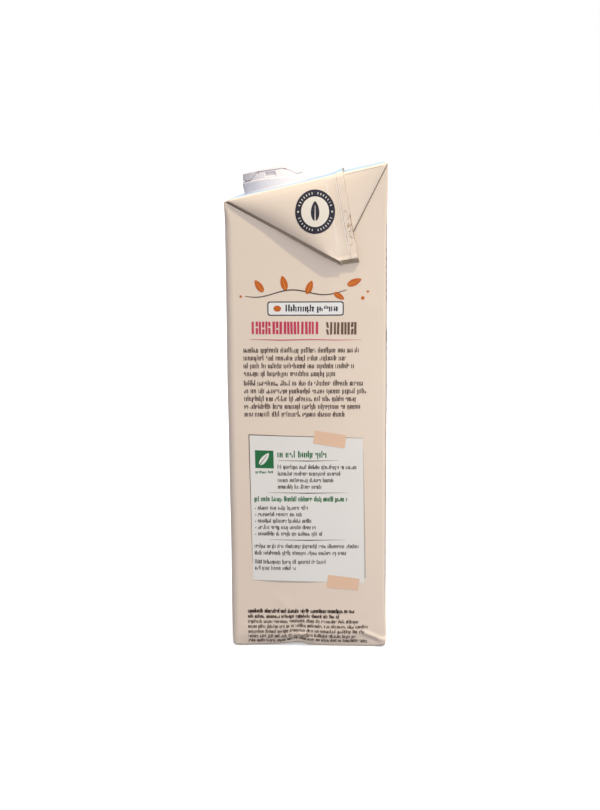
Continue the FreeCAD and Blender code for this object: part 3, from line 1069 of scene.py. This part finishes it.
def addPatch(sheet, outline, ink, layer):
    first = len(sheet["points"])
    for a, z in outline:
        addPoint(sheet, a, z, layer)
    sheet["faces"].append(tuple(range(first, first + len(outline))))
    sheet["inksAndPaintedLight"].append(ink)


def addShape(sheet, centre, turn, reach, edges, ink, layer, step=1.6):
    # a shape filled row by row; edges(q) gives its left and right limit at height q
    rows = max(2, int(math.ceil(2 * reach / step)))
    levels = [-reach * math.cos(math.pi * k / rows) for k in range(rows + 1)]
    limits = [edges(q) for q in levels]
    columns = max(1, int(math.ceil(max(right - left for left, right in limits) / step)))
    cosT, sinT = math.cos(math.radians(turn)), math.sin(math.radians(turn))
    first = len(sheet["points"])
    for q, (left, right) in zip(levels, limits):
        for column in range(columns + 1):
            p = left + (right - left) * column / columns
            addPoint(sheet, centre[0] + p * cosT - q * sinT, centre[1] + p * sinT + q * cosT, layer)
    for row in range(rows):
        for column in range(columns):
            corner = first + row * (columns + 1) + column
            sheet["faces"].append((corner, corner + 1, corner + columns + 2, corner + columns + 1))
            sheet["inksAndPaintedLight"].append(ink)


def addField(sheet, corners, ink, layer, step=1.6):
    # a four-cornered field, corners in order: top left, top right, lower right, lower left
    (ax, az), (bx, bz), (cx, cz), (dx, dz) = corners
    columns = max(1, int(math.ceil(math.hypot(bx - ax, bz - az) / step)))
    rows = max(1, int(math.ceil(math.hypot(dx - ax, dz - az) / step)))
    first = len(sheet["points"])
    for row in range(rows + 1):
        down = row / rows
        for column in range(columns + 1):
            along = column / columns
            a = (ax * (1 - along) + bx * along) * (1 - down) + (dx * (1 - along) + cx * along) * down
            z = (az * (1 - along) + bz * along) * (1 - down) + (dz * (1 - along) + cz * along) * down
            addPoint(sheet, a, z, layer)
    for row in range(rows):
        for column in range(columns):
            corner = first + row * (columns + 1) + column
            sheet["faces"].append((corner + columns + 1, corner + columns + 2, corner + 1, corner))
            sheet["inksAndPaintedLight"].append(ink)


def addStroke(sheet, path, widths, ink, layer, step=1.0):
    # a line of changing width through a list of points
    spots, sizes = [], []
    for k in range(len(path) - 1):
        (ax, az), (bx, bz) = path[k], path[k + 1]
        count = max(1, int(math.ceil(math.hypot(bx - ax, bz - az) / step)))
        for m in range(count):
            share = m / count
            spots.append((ax + (bx - ax) * share, az + (bz - az) * share))
            sizes.append(widths[k] + (widths[k + 1] - widths[k]) * share)
    spots.append(path[-1])
    sizes.append(widths[-1])
    first = len(sheet["points"])
    for k, (a, z) in enumerate(spots):
        before, after = spots[max(k - 1, 0)], spots[min(k + 1, len(spots) - 1)]
        da, dz = after[0] - before[0], after[1] - before[1]
        half = sizes[k] / 2 / math.hypot(da, dz)
        addPoint(sheet, a + dz * half, z - da * half, layer)
        addPoint(sheet, a - dz * half, z + da * half, layer)
    for k in range(len(spots) - 1):
        corner = first + 2 * k
        sheet["faces"].append((corner, corner + 2, corner + 3, corner + 1))
        sheet["inksAndPaintedLight"].append(ink)


def addRing(sheet, centre, inner, outer, ink, layer, count=120, rounds=6):
    first = len(sheet["points"])
    for k in range(count):
        turn = 2 * math.pi * k / count
        for m in range(rounds + 1):
            radiusX = inner[0] + (outer[0] - inner[0]) * m / rounds
            radiusZ = inner[1] + (outer[1] - inner[1]) * m / rounds
            x, z = centre[0] + radiusX * math.cos(turn), centre[1] + radiusZ * math.sin(turn)
            addPoint(sheet, x, z, layer)
    for k in range(count):
        for m in range(rounds):
            a = first + (rounds + 1) * k + m
            b = first + (rounds + 1) * ((k + 1) % count) + m
            sheet["faces"].append((a, a + 1, b + 1, b))
            sheet["inksAndPaintedLight"].append(ink)


def addWords(sheet, start, stop, z, size, ink, seed, layer, rise=None):
    # a line of plain upright ticks in groups, as unreadable as small print seen from afar
    height, pitch, weight = size
    rng = np.random.RandomState(seed)
    a = start
    while a < stop - pitch:
        group = rng.randint(3, 15)
        for _ in range(group):
            if a > stop - weight:
                break
            # most ticks are plain; some are tall, hanging, raised or short
            kind = rng.rand()
            low, high = 0.0, height
            if kind < 0.17:
                high = height * 1.40
            elif kind < 0.24:
                low = -height * 0.30
            elif kind < 0.30:
                low = height * 0.50
            elif kind < 0.36:
                high = height * 0.55
            wide = weight * (0.8 + 0.5 * rng.rand())
            level = z + (rise(a) if rise else 0.0) + 0.05 * rng.randn()
            tip = 0.05 * rng.randn()
            addPatch(sheet, [(a, level + low), (a + wide, level + low), (a + wide + tip, level + high),
                             (a + tip, level + high)], ink, layer)
            if rng.rand() < 0.55:
                bar = level + (low + high) / 2 + height * (rng.rand() - 0.5) * 0.7
                roof = bar + weight * 0.62
                left, right = a + wide, a + pitch
                addPatch(sheet, [(left, bar), (right, bar), (right, roof), (left, roof)], ink, layer)
            a += pitch * (0.86 + 0.28 * rng.rand())
        a += pitch * 1.25


def addLines(sheet, start, ends, top, drop, size, seed, layer="mark"):
    # lines of small print under one another
    for row, end in enumerate(ends):
        addWords(sheet, start, end, top - drop * row, size, "text", seed + row, layer)


def addTitle(sheet, start, stop, z, height, ink, seed):
    # tall upright strokes standing in for a heading
    rng = np.random.RandomState(seed)
    a = start
    while a < stop - 0.8:
        wide = 0.86 + 0.24 * rng.rand()
        tip = 0.10 * rng.randn()
        low, high = (0.12 * rng.rand(), height - 0.12 * rng.rand())
        kind = rng.rand()
        cuts = [(low, high)]
        if kind < 0.34:
            middle = height * (0.40 + 0.2 * rng.rand())
            cuts = [(low, middle - 0.35), (middle + 0.35, high)]
        for foot, head in cuts:
            addPatch(sheet, [(a, z + foot), (a + wide, z + foot), (a + wide + tip, z + head),
                             (a + tip, z + head)], ink, "mark")
        a += wide + (0.44 if rng.rand() < 0.75 else 0.8)


def leafEdges(reach, half):
    # a pointed leaf, fuller towards its lower end
    def edges(q):
        share = (q + reach) / (2 * reach)
        wide = half * 1.9 * max(share, 0) ** 0.55 * max(1 - share, 0) ** 0.75
        return -wide, wide
    return edges


def discEdges(radiusX, radiusZ):
    def edges(q):
        wide = radiusX * math.sqrt(max(1 - (q / radiusZ) ** 2, 0))
        return -wide, wide
    return edges


def pillEdges(half, reach, radius):
    # a rectangle with rounded corners
    def edges(q):
        over = max(abs(q) - (reach - radius), 0)
        wide = half - radius + math.sqrt(max(radius * radius - over * over, 0))
        return -wide, wide
    return edges


def addDot(sheet, centre, radius, ink, layer, step=0.4):
    addShape(sheet, centre, 0, radius, discEdges(radius, radius), ink, layer, step)


def makeSheet(name, sheet):
    names = sorted(set(sheet["inksAndPaintedLight"]))
    marks = [names.index(ink) for ink in sheet["inksAndPaintedLight"]]
    makePiece(name, np.array([list(p) for p in sheet["points"]]), sheet["faces"],
              [inkSkins[ink] for ink in names], marks, sharp=60, closed=False)


# ---- painted reflection on the top, painted shade at the folds, and wear, painted highlight and painted shade on the fin ----

foldMarks = {
    "skyReflectionCorners": [(-33.6, 33.2), (34.2, 33.2), (34.2, -33.2), (-33.6, -33.2)],
    "gapShadeWidth": 0.46,
    "gapShadeStart": 0.75,
    "lines": ((0.05, 0.62), (4.35, 0.40), (4.95, 0.26)),
    "frayed": (7.66, 0.30),
    "cracks": 34,
    "edgeShadeWidth": 0.24,
}


def makeTopSkyReflection():
    # painted reflection: a pale blue field over the whole top, standing in for the surroundings seen in its
    # gloss
    sheet = newSheet(sidePlace("top"))
    addField(sheet, foldMarks["skyReflectionCorners"], "sky", "field", 2.2)
    makeSheet("topSkyReflection", sheet)


def makeFoldGapShade(name, side, place):
    # painted shade: dark strips standing in for the shadow in the gaps behind the high edge and behind the
    # start of the low edge of an ear
    sheet = newSheet(place)
    wide = foldMarks["gapShadeWidth"]
    path = []
    for s in np.linspace(0.02, 0.80, 14):
        path.append(earSpot(earSpan(s)[1] + 0.12, s * ear["length"], side))
    addStroke(sheet, path, [0.30] + [wide] * 12 + [0.30], "foldDark", "field")
    path = []
    for s in np.linspace(0.01, 0.42, 10):
        path.append(earSpot(earSpan(s)[0] - 0.1, s * ear["length"], side))
    addStroke(sheet, path, list(np.linspace(foldMarks["gapShadeStart"], 0.15, 10)), "foldDark", "field")
    makeSheet(name, sheet)


def makeFinCreases():
    # pale lines where the fin is folded and sealed, rubbed wear together with painted highlight on the fold
    # ridges, and its brown cut edge where it frays
    sheet = newSheet(earPrintPlace)
    rng = np.random.RandomState(12)

    def addFinLine(across, width, downs, ink):
        path, widths = [], []
        for v in downs:
            a, z = earSpot(ear["seal"] + across, v)
            path.append((a + 0.03 * rng.randn(), z))
            widths.append(max(0.05, width * (0.55 + 0.6 * rng.rand())))
        widths[0] = widths[-1] = 0.05
        addStroke(sheet, path, widths, ink, "field", 0.6)

    for across, width in foldMarks["lines"]:
        addFinLine(across, width, np.linspace(2.5, 34.5, 60), "creaseLight")
    addFinLine(*foldMarks["frayed"], np.linspace(17.5, 28.5, 26), "creaseBrown")
    for _ in range(foldMarks["cracks"]):
        # little cracks in the print of the lip
        v = 22.6 + 4.2 * rng.randn()
        a, b = 5.4 + 1.7 * rng.rand(), 0.3 + 0.9 * rng.rand()
        first = earSpot(ear["seal"] + a, v)
        last = earSpot(ear["seal"] + min(a + b, 7.5), v + 0.9 * rng.randn())
        ink = "creaseLight" if rng.rand() < 0.62 else "creaseBrown"
        addStroke(sheet, [first, last], [0.22, 0.10], ink, "mark", 0.6)
    # a thin grey line of painted shade along the top edge, between the fin and the high edge
    path = [earSpot(u, 0.9) for u in np.linspace(ear["seal"] + 8.6, slopeLength - 2.2, 16)]
    addStroke(sheet, path, [0.10] + [foldMarks["edgeShadeWidth"]] * 14 + [0.10], "shade", "field")
    makeSheet("finCreases", sheet)


# ---- print on the seen side ----

heading = {
    "stemHeight": 162.0,
    "stemWave": 1.3,
    "leaves": (((-20.4, 164.9), 34, 3.1, 1.85), ((-9.6, 166.2), 14, 3.2, 1.95),
               ((1.4, 164.3), -22, 3.1, 1.85), ((14.2, 160.5), 238, 2.6, 1.55),
               ((20.8, 166.4), -66, 3.3, 1.9)),
    "dots": (((24.4, 159.6), 0.8), ((26.6, 162.4), 0.55), ((-28.4, 160.4), 0.6)),
    "badge": (-0.35, 155.1),
    "titleHeight": 5.6,
}


def makeNearHeading():
    sheet = newSheet(near)
    # plain leaves on a waved stem, with a few loose dots
    stem, widths = [], []
    for k, a in enumerate(np.linspace(-26.5, 17.5, 34)):
        wave = heading["stemWave"] * math.sin((a + 14) * 0.21)
        stem.append((a, heading["stemHeight"] + wave + 0.035 * (a + 4)))
        widths.append(0.22 + 0.26 * math.sin(math.pi * k / 33) ** 0.5)
    addStroke(sheet, stem, widths, "text", "mark")
    for centre, turn, reach, half in heading["leaves"]:
        addShape(sheet, centre, turn, reach, leafEdges(reach, half), "seed", "mark", 0.5)
        vein = math.radians(turn + 90)
        tip = (centre[0] + 0.72 * reach * math.cos(vein), centre[1] + 0.72 * reach * math.sin(vein))
        foot = (centre[0] - 0.85 * reach * math.cos(vein), centre[1] - 0.85 * reach * math.sin(vein))
        addStroke(sheet, [foot, tip], [0.30, 0.10], "seedLight", "over", 0.6)
    for centre, size in heading["dots"]:
        addDot(sheet, centre, size, "seed", "mark")
    # the badge: white, with a dark border
    addShape(sheet, heading["badge"], 0, 3.1, pillEdges(16.55, 3.1, 0.9), "navy", "field", 1.2)
    addShape(sheet, heading["badge"], 0, 2.62, pillEdges(16.05, 2.62, 0.6), "white", "mark", 1.2)
    addShape(sheet, (-12.6, 155.1), 0, 1.35, discEdges(1.7, 1.35), "seed", "over", 0.5)
    addWords(sheet, -9.0, 14.0, 153.9, lettering["badge"], "navy", 11, "over")
    addTitle(sheet, -23.8, 6.2, 143.9, heading["titleHeight"], "title", 5)
    addTitle(sheet, 8.9, 22.8, 143.7, heading["titleHeight"] - 0.1, "titleBrown", 9)
    line = [(-25.0, 141.75), (-12.0, 141.35), (2.0, 141.6), (14.0, 141.35), (24.2, 141.5)]
    addStroke(sheet, line, [0.12, 0.42, 0.34, 0.26, 0.06], "title", "mark")
    makeSheet("nearHeadingPrint", sheet)


def makeNearText():
    sheet = newSheet(near)
    addLines(sheet, -27.6, (23.2, 17.5, 21.0, 13.0), 135.8, 3.46, lettering["text"], 100)
    addLines(sheet, -27.6, (24.3, 26.0, 21.5, 23.5, 16.6), 121.21, 3.46, lettering["text"], 104)
    makeSheet("nearTextPrint", sheet)


def makeNearNote():
    sheet = newSheet(near)
    # the printed shadow of the note, the note itself and its worn edge
    addStroke(sheet, [(-25.4, 31.9), (-14.0, 31.35), (0.0, 31.1), (8.0, 31.25)], [0.1, 0.95, 0.7, 0.1],
              "shade", "under")
    addStroke(sheet, [(24.7, 92.0), (25.1, 62.0), (25.5, 33.0)], [0.05, 0.45, 0.6], "shade", "under")
    addField(sheet, [(-25.7, 99.0), (24.4, 97.5), (25.2, 30.9), (-25.0, 32.0)], "card", "field")
    addStroke(sheet, [(-25.9, 99.2), (-8.0, 98.6), (3.0, 98.3), (24.5, 97.7)], [0.42, 0.30, 0.25, 0.12],
              "titleBrown", "mark")
    addStroke(sheet, [(-25.8, 99.1), (-25.5, 70.0), (-25.2, 40.0)], [0.38, 0.22, 0.08],
              "titleBrown", "mark")
    addField(sheet, [(3.5, 101.1), (17.2, 99.0), (16.4, 93.1), (2.4, 95.4)], "tape", "over")
    addField(sheet, [(8.9, 34.7), (23.0, 32.8), (22.2, 27.4), (8.2, 28.7)], "tape", "over")
    # a green tile with a plain leaf
    addField(sheet, [(-23.3, 92.2), (-15.1, 92.0), (-15.0, 83.9), (-23.2, 84.1)], "green", "mark")
    addShape(sheet, (-19.2, 88.2), -38, 3.4, leafEdges(3.4, 1.7), "card", "over", 0.5)
    addStroke(sheet, [(-21.4, 85.4), (-17.9, 89.9)], [0.4, 0.15], "green", "top", 0.6)
    addWords(sheet, -23.2, -15.0, 81.7, lettering["tile"], "green", 40, "mark")
    # headings, rules and lines of small print
    addWords(sheet, -13.3, 9.1, 88.9, lettering["noteTitle"], "green", 41, "mark")
    for left, right, level in ((-13.1, 13.9, 87.4), (-17.5, 17.6, 72.7), (-17.2, 16.9, 50.9)):
        addStroke(sheet, [(left, level + 0.1), ((left + right) / 2, level - 0.1), (right, level + 0.15)],
                  [0.1, 0.42, 0.06], "text", "mark")
    addLines(sheet, -13.3, (21.9, 15.5, 11.5, 6.0), 83.6, 3.0, lettering["note"], 50)
    addWords(sheet, -23.9, 17.9, 68.8, lettering["noteHeading"], "green", 60, "mark")
    for row, end in enumerate((0.5, -2.3, 1.4, 3.4, 6.7)):
        level = 64.9 - row * 3.0
        addDot(sheet, (-23.5, level + 0.6), 0.3, "text", "mark")
        addWords(sheet, -22.4, end, level, lettering["note"], "text", 70 + row, "mark")
    for row, (level, end) in enumerate(((47.1, 22.7), (43.9, 17.0), (39.7, 7.7), (36.8, -5.5))):
        addWords(sheet, -24.1, end, level, lettering["note"], "text", 80 + row, "mark")
    makeSheet("nearNotePrint", sheet)


def makeNearFoot():
    sheet = newSheet(near)
    # level, right end, height and weight of each line
    rows = ((16.4, 21.2, 1.45, 0.40), (13.9, 14.0, 1.3, 0.32), (11.5, 22.5, 1.25, 0.25),
            (9.1, 26.7, 1.25, 0.25), (6.7, 25.0, 1.25, 0.25), (4.4, 21.5, 1.25, 0.25),
            (2.2, 26.7, 1.2, 0.25))
    for row, (level, end, tall, weight) in enumerate(rows):
        def rise(a, level=level):
            # the lines follow the buckled lower edge
            share = 1 - min(level / 17.0, 1.0)
            left, right = math.exp(-((a + 5.5) / 4.5) ** 2), math.exp(-((a - 1.5) / 4.0) ** 2)
            return share * (1.3 * left + 0.5 * right)
        addWords(sheet, -27.6, end, level, (tall, 0.50, weight), "text", 90 + row, "over", rise)
    makeSheet("nearFootPrint", sheet)


roundel = {"centre": (4.2, 196.7), "inner": (5.9, 6.4), "outer": (8.45, 9.3), "stretch": 1.09, "dashes": 36}


def makeRoundel():
    sheet = newSheet(earPrintPlace)
    centreX, centreZ = roundel["centre"]
    innerX, innerZ = roundel["inner"]
    addRing(sheet, roundel["centre"], roundel["inner"], roundel["outer"], "navy", "mark")
    disc = discEdges(innerX + 0.05, innerZ + 0.05)
    addShape(sheet, roundel["centre"], 0, innerZ + 0.05, disc, "cream", "mark", 0.9)
    dashes = roundel["dashes"]
    for k in range(dashes):
        # short pale dashes round the ring, with gaps at either side, above and below
        if k % 18 in (0, 1, 17) or k in (9, 27):
            continue
        turn = 2 * math.pi * k / dashes
        cosT, sinT = math.cos(turn), math.sin(turn)
        outline = []
        for radius, aside in ((6.75, -0.17), (7.55, -0.17), (7.55, 0.17), (6.75, 0.17)):
            outline.append((centreX + radius * cosT - aside * sinT,
                            centreZ + roundel["stretch"] * (radius * sinT + aside * cosT)))
        addPatch(sheet, outline, "cream", "over")
    for aside in (-7.2, 7.2):
        addDot(sheet, (centreX + aside, centreZ), 0.4, "cream", "over", 0.3)
    addShape(sheet, (centreX, centreZ + 0.3), 0, 4.2, leafEdges(4.2, 2.3), "navy", "over", 0.5)
    addStroke(sheet, [(centreX, centreZ - 4.6), (centreX, centreZ + 2.6)], [0.5, 0.2], "cream", "top", 0.6)
    makeSheet("earRoundelPrint", sheet)


near = sidePlace("near")
makeTopSkyReflection()
makeFoldGapShade("nearFoldGapShade", -1, near)
makeFoldGapShade("farFoldGapShade", 1, sidePlace("far"))
makeFinCreases()
makeNearHeading()
makeNearText()
makeNearNote()
makeNearFoot()
makeRoundel()
print("near side printed")


# ---- print on the other sides ----

otherSides = {
    "titleHeight": 6.4,
    "discHeight": 108.0,
    "discRadius": 21.0,
    "discStretch": 1.04,
    "sprigLeaves": 9,
    "drops": 7,
    "tableTop": 144.0,
    "tableRows": 9,
    "tableRow": 5.6,
    "tableHalf": 26.5,
    "cardHalf": 25.0,
}


def addSprig(sheet, foot, lean, length, leaves, size):
    # a bowed stem with plain leaves to either side
    steps = 22
    points = []
    for k in range(steps):
        share = k / (steps - 1)
        turn = math.radians(90 - lean * share)
        reach = length * share
        points.append((foot[0] + reach * math.cos(turn), foot[1] + reach * math.sin(turn)))
    addStroke(sheet, points, list(np.linspace(0.62, 0.20, steps)), "text", "over")
    for k in range(leaves):
        a, z = points[4 + int(k * 16 / leaves)]
        side = 1 if k % 2 else -1
        turn = -side * (52 - 2 * k) - lean * 0.6
        aim = math.radians(turn + 90)
        reach = size * (1 - 0.05 * k)
        centre = (a + reach * 1.05 * math.cos(aim), z + reach * 1.05 * math.sin(aim))
        tip = (centre[0] + 0.5 * reach * math.cos(aim), centre[1] + 0.5 * reach * math.sin(aim))
        addShape(sheet, centre, turn, reach, leafEdges(reach, reach * 0.52), "seed", "mark", 0.8)
        addStroke(sheet, [(a, z), tip], [0.34, 0.10], "seedLight", "over", 0.8)


def addRule(sheet, left, right, level, width, ink, layer="mark"):
    addStroke(sheet, [(left, level), (right, level)], [width, width], ink, layer, 2.0)


def makeLowPrint():
    # the narrow side under the closure: a heading, a pale disc with a sprig, a button and small print
    sheet = newSheet(sidePlace("low"))
    addTitle(sheet, -25.5, 24.5, 168.0, otherSides["titleHeight"], "title", 201)
    addTitle(sheet, -17.0, 16.5, 157.5, otherSides["titleHeight"], "titleBrown", 202)
    addStroke(sheet, [(-24.0, 153.6), (0.0, 153.0), (24.0, 153.5)], [0.1, 0.45, 0.1], "title", "mark")
    addWords(sheet, -20.0, 20.0, 148.4, lettering["motto"], "text", 203, "mark")
    middle, wide = (0, otherSides["discHeight"]), otherSides["discRadius"]
    tall = wide * otherSides["discStretch"]
    addShape(sheet, middle, 0, tall, discEdges(wide, tall), "cream", "field", 1.6)
    addRing(sheet, middle, (wide + 1.0, tall + 1.0), (wide + 1.6, tall + 1.6), "navy", "field", 110, 1)
    addSprig(sheet, (-5.0, 92.5), 26, 30.0, otherSides["sprigLeaves"], 5.4)
    for k in range(otherSides["drops"]):
        drop = (-24 + 8 * k, 72.0 + 2.5 * math.sin(k * 1.4))
        addShape(sheet, drop, 0, 1.5, leafEdges(1.5, 0.85), "seed", "mark", 0.5)
    addShape(sheet, (0, 55.5), 0, 3.6, pillEdges(19.0, 3.6, 1.4), "green", "field", 1.4)
    addWords(sheet, -15.0, 15.0, 54.3, lettering["button"], "card", 204, "mark")
    addLines(sheet, -26.0, (25.0, 21.0, 24.0, 12.0), 40.0, 3.4, lettering["side"], 210)
    makeSheet("lowSidePrint", sheet)


def makeHighPrint():
    # the tall narrow side: small print, a ruled table and a sprig
    sheet = newSheet(sidePlace("high"))
    addTitle(sheet, -25.5, 12.0, 186.0, 4.6, "title", 221)
    addLines(sheet, -26.2, (26.0, 23.5, 25.2, 20.0, 25.8, 24.0, 8.0), 178.0, 3.5, lettering["side"], 230)
    rows, top, tall = otherSides["tableRows"], otherSides["tableTop"], otherSides["tableRow"]
    half = otherSides["tableHalf"]
    foot = top - tall * rows
    head = top - tall
    addField(sheet, [(-half, top), (half, top), (half, foot), (-half, foot)], "card", "field", 2.2)
    addField(sheet, [(-half, top), (half, top), (half, head), (-half, head)], "green", "mark", 2.2)
    addWords(sheet, -24.5, 4.0, head + 1.7, lettering["tableTitle"], "card", 240, "over")
    for row in range(1, rows):
        level = top - tall * row
        start = -22.0 if row in (3, 5) else -24.5
        end = (-6.0, 2.0, -3.0, 5.0)[row % 4]
        addRule(sheet, -half, half, level, 0.22, "text", "over")
        addWords(sheet, start, end, level - tall + 1.9, lettering["table"], "text", 241 + row, "over")
        addWords(sheet, 16.5, 24.0, level - tall + 1.9, lettering["table"], "text", 251 + row, "over")
    addStroke(sheet, [(14.0, head), (14.0, foot)], [0.22, 0.22], "text", "over", 2.0)
    addSprig(sheet, (15.0, 56.0), -38, 24.0, 7, 4.2)
    addLines(sheet, -26.2, (2.0, -3.5, 0.5, 3.0, -8.0), 80.0, 3.5, lettering["side"], 260)
    addRule(sheet, -26.0, 26.0, 46.5, 0.3, "title")
    addLines(sheet, -26.2, (24.0, 26.0, 19.0, 25.0, 15.0), 40.0, 3.4, lettering["highFoot"], 270)
    makeSheet("highSidePrint", sheet)


def makeFarPrint():
    # the side turned away: a heading, small print and a card like the seen side
    sheet = newSheet(sidePlace("far"))
    addSprig(sheet, (-20.0, 150.0), 74, 24.0, 7, 3.6)
    addTitle(sheet, -24.0, 22.0, 141.0, 5.6, "title", 301)
    addStroke(sheet, [(-25.0, 138.6), (0.0, 138.2), (24.0, 138.5)], [0.1, 0.42, 0.1], "title", "mark")
    ends = (25.0, 22.0, 26.0, 24.0, 17.0, 25.5, 23.0, 10.0)
    addLines(sheet, -27.0, ends, 131.5, 3.46, lettering["text"], 310)
    half = otherSides["cardHalf"]
    addField(sheet, [(-half, 98.5), (half, 98.5), (half, 34.0), (-half, 34.0)], "card", "field", 2.2)
    addField(sheet, [(-8.0, 101.0), (8.0, 100.2), (7.6, 95.4), (-8.4, 96.2)], "tape", "over")
    addShape(sheet, (-13.5, 78.0), 0, 8.6, discEdges(8.2, 8.6), "seedLight", "mark", 1.4)
    addShape(sheet, (-13.5, 78.0), 20, 6.0, leafEdges(6.0, 3.2), "seed", "over", 0.8)
    addLines(sheet, -2.5, (20.0, 16.0, 21.5, 12.0), 83.0, 3.3, lettering["card"], 320)
    addStroke(sheet, [(-22.0, 65.2), (22.0, 64.9)], [0.3, 0.3], "green", "mark", 2.0)
    addLines(sheet, -22.5, (20.5, 22.0, 17.0, 21.0, 22.0, 19.0, 8.0), 60.0, 3.3, lettering["card"], 330)
    addLines(sheet, -27.0, (24.5, 26.0, 25.0, 14.0), 22.5, 3.0, lettering["farFoot"], 340)
    makeSheet("farSidePrint", sheet)


makeLowPrint()
makeHighPrint()
makeFarPrint()
print("other sides printed")


# ---- floor and light ----

studio = {
    "keyPower": 3.3,
    "keyColor": (1.0, 0.90, 0.62),
    "keyDistance": 700,
    "keySize": 26,
    "keyFrom": (0.285, -0.342, 0.896),
    "keyAim": (0, -35, 190),
    "frontPower": 1.0,
    "frontColor": (1.0, 1.0, 1.03),
    "frontSize": 240,
    "frontPlace": (240, -360, 10),
    "frontAim": (0, -35, 110),
    "skyColor": (0.98, 0.975, 1.04),
    "groundColor": (0.50, 0.50, 0.52),
    "floorHalf": 40000.0,
    "floorColor": (0.99, 0.99, 0.99),
    "floorGrain": (0.96, 0.96, 0.96),
    "floorBounce": 0.07,
    "floorLift": 0.36,
}


def makeFloor():
    half = studio["floorHalf"]
    corners = [(-half, -half, 0), (half, -half, 0), (half, half, 0), (-half, half, 0)]
    mesh = bpy.data.meshes.new("studioFloor")
    mesh.from_pydata((np.array(corners) * mm).tolist(), [], [(0, 1, 2, 3)])
    material = bpy.data.materials.new("studioFloor")
    material.use_nodes = True
    tree = material.node_tree
    shader = tree.nodes["Principled BSDF"]
    rays = tree.nodes.new("ShaderNodeLightPath")
    place = tree.nodes.new("ShaderNodeTexCoord").outputs["Object"]
    grain = mathNode(tree, "MULTIPLY", noiseNode(tree, 3, 2, place), 0.02)
    seen = mixNode(tree, grain, (*studio["floorColor"], 1), (*studio["floorGrain"], 1))
    # the camera sees a white floor; light that meets it is hardly thrown back on the pack
    bounce = studio["floorBounce"]
    color = mixNode(tree, rays.outputs["Is Camera Ray"], (bounce, bounce, bounce, 1), seen)
    tree.links.new(color, shader.inputs["Base Color"])
    shader.inputs["Roughness"].default_value = 0.9
    shader.inputs["Specular IOR Level"].default_value = 0.0
    shader.inputs["Emission Strength"].default_value = studio["floorLift"]
    tree.links.new(rays.outputs["Is Camera Ray"], shader.inputs["Emission Color"])
    mesh.materials.append(material)
    floor = bpy.data.objects.new("studioFloor", mesh)
    bpy.context.collection.objects.link(floor)


def addLamp(name, shape, size, power, color, place, target):
    lamp = bpy.data.lights.new(name, "AREA")
    lamp.shape = shape
    lamp.size = size * mm
    lamp.energy = power
    lamp.color = color
    piece = bpy.data.objects.new(name, lamp)
    toLamp = Vector(place) - Vector(target)
    piece.rotation_mode = "QUATERNION"
    piece.rotation_quaternion = toLamp.to_track_quat("Z", "Y")
    piece.location = Vector(place) * mm
    piece.visible_camera = False
    bpy.context.collection.objects.link(piece)


def makeLight():
    aim = Vector(studio["keyAim"])
    keyPlace = aim + Vector(studio["keyFrom"]).normalized() * studio["keyDistance"]
    addLamp("keyLamp", "DISK", studio["keySize"], studio["keyPower"], studio["keyColor"], keyPlace, aim)
    addLamp("frontLamp", "SQUARE", studio["frontSize"], studio["frontPower"], studio["frontColor"],
            studio["frontPlace"], studio["frontAim"])
    world = bpy.data.worlds.new("studio")
    bpy.context.scene.world = world
    world.use_nodes = True
    tree = world.node_tree
    background = tree.nodes["Background"]
    rays = tree.nodes.new("ShaderNodeLightPath")
    place = tree.nodes.new("ShaderNodeTexCoord").outputs["Generated"]
    parts = tree.nodes.new("ShaderNodeSeparateXYZ")
    tree.links.new(place, parts.inputs[0])
    height = mathNode(tree, "MULTIPLY_ADD", parts.outputs["Z"], 1.6, 0.5)
    held = tree.nodes.new("ShaderNodeClamp")
    tree.links.new(height, held.inputs[0])
    soft = mixNode(tree, held.outputs[0], (*studio["groundColor"], 1), (*studio["skyColor"], 1))
    color = mixNode(tree, rays.outputs["Is Camera Ray"], soft, (1, 1, 1, 1))
    tree.links.new(color, background.inputs["Color"])
    background.inputs["Strength"].default_value = 1


makeFloor()
makeLight()
bpy.context.scene.view_settings.view_transform = "Standard"
print("studio made")
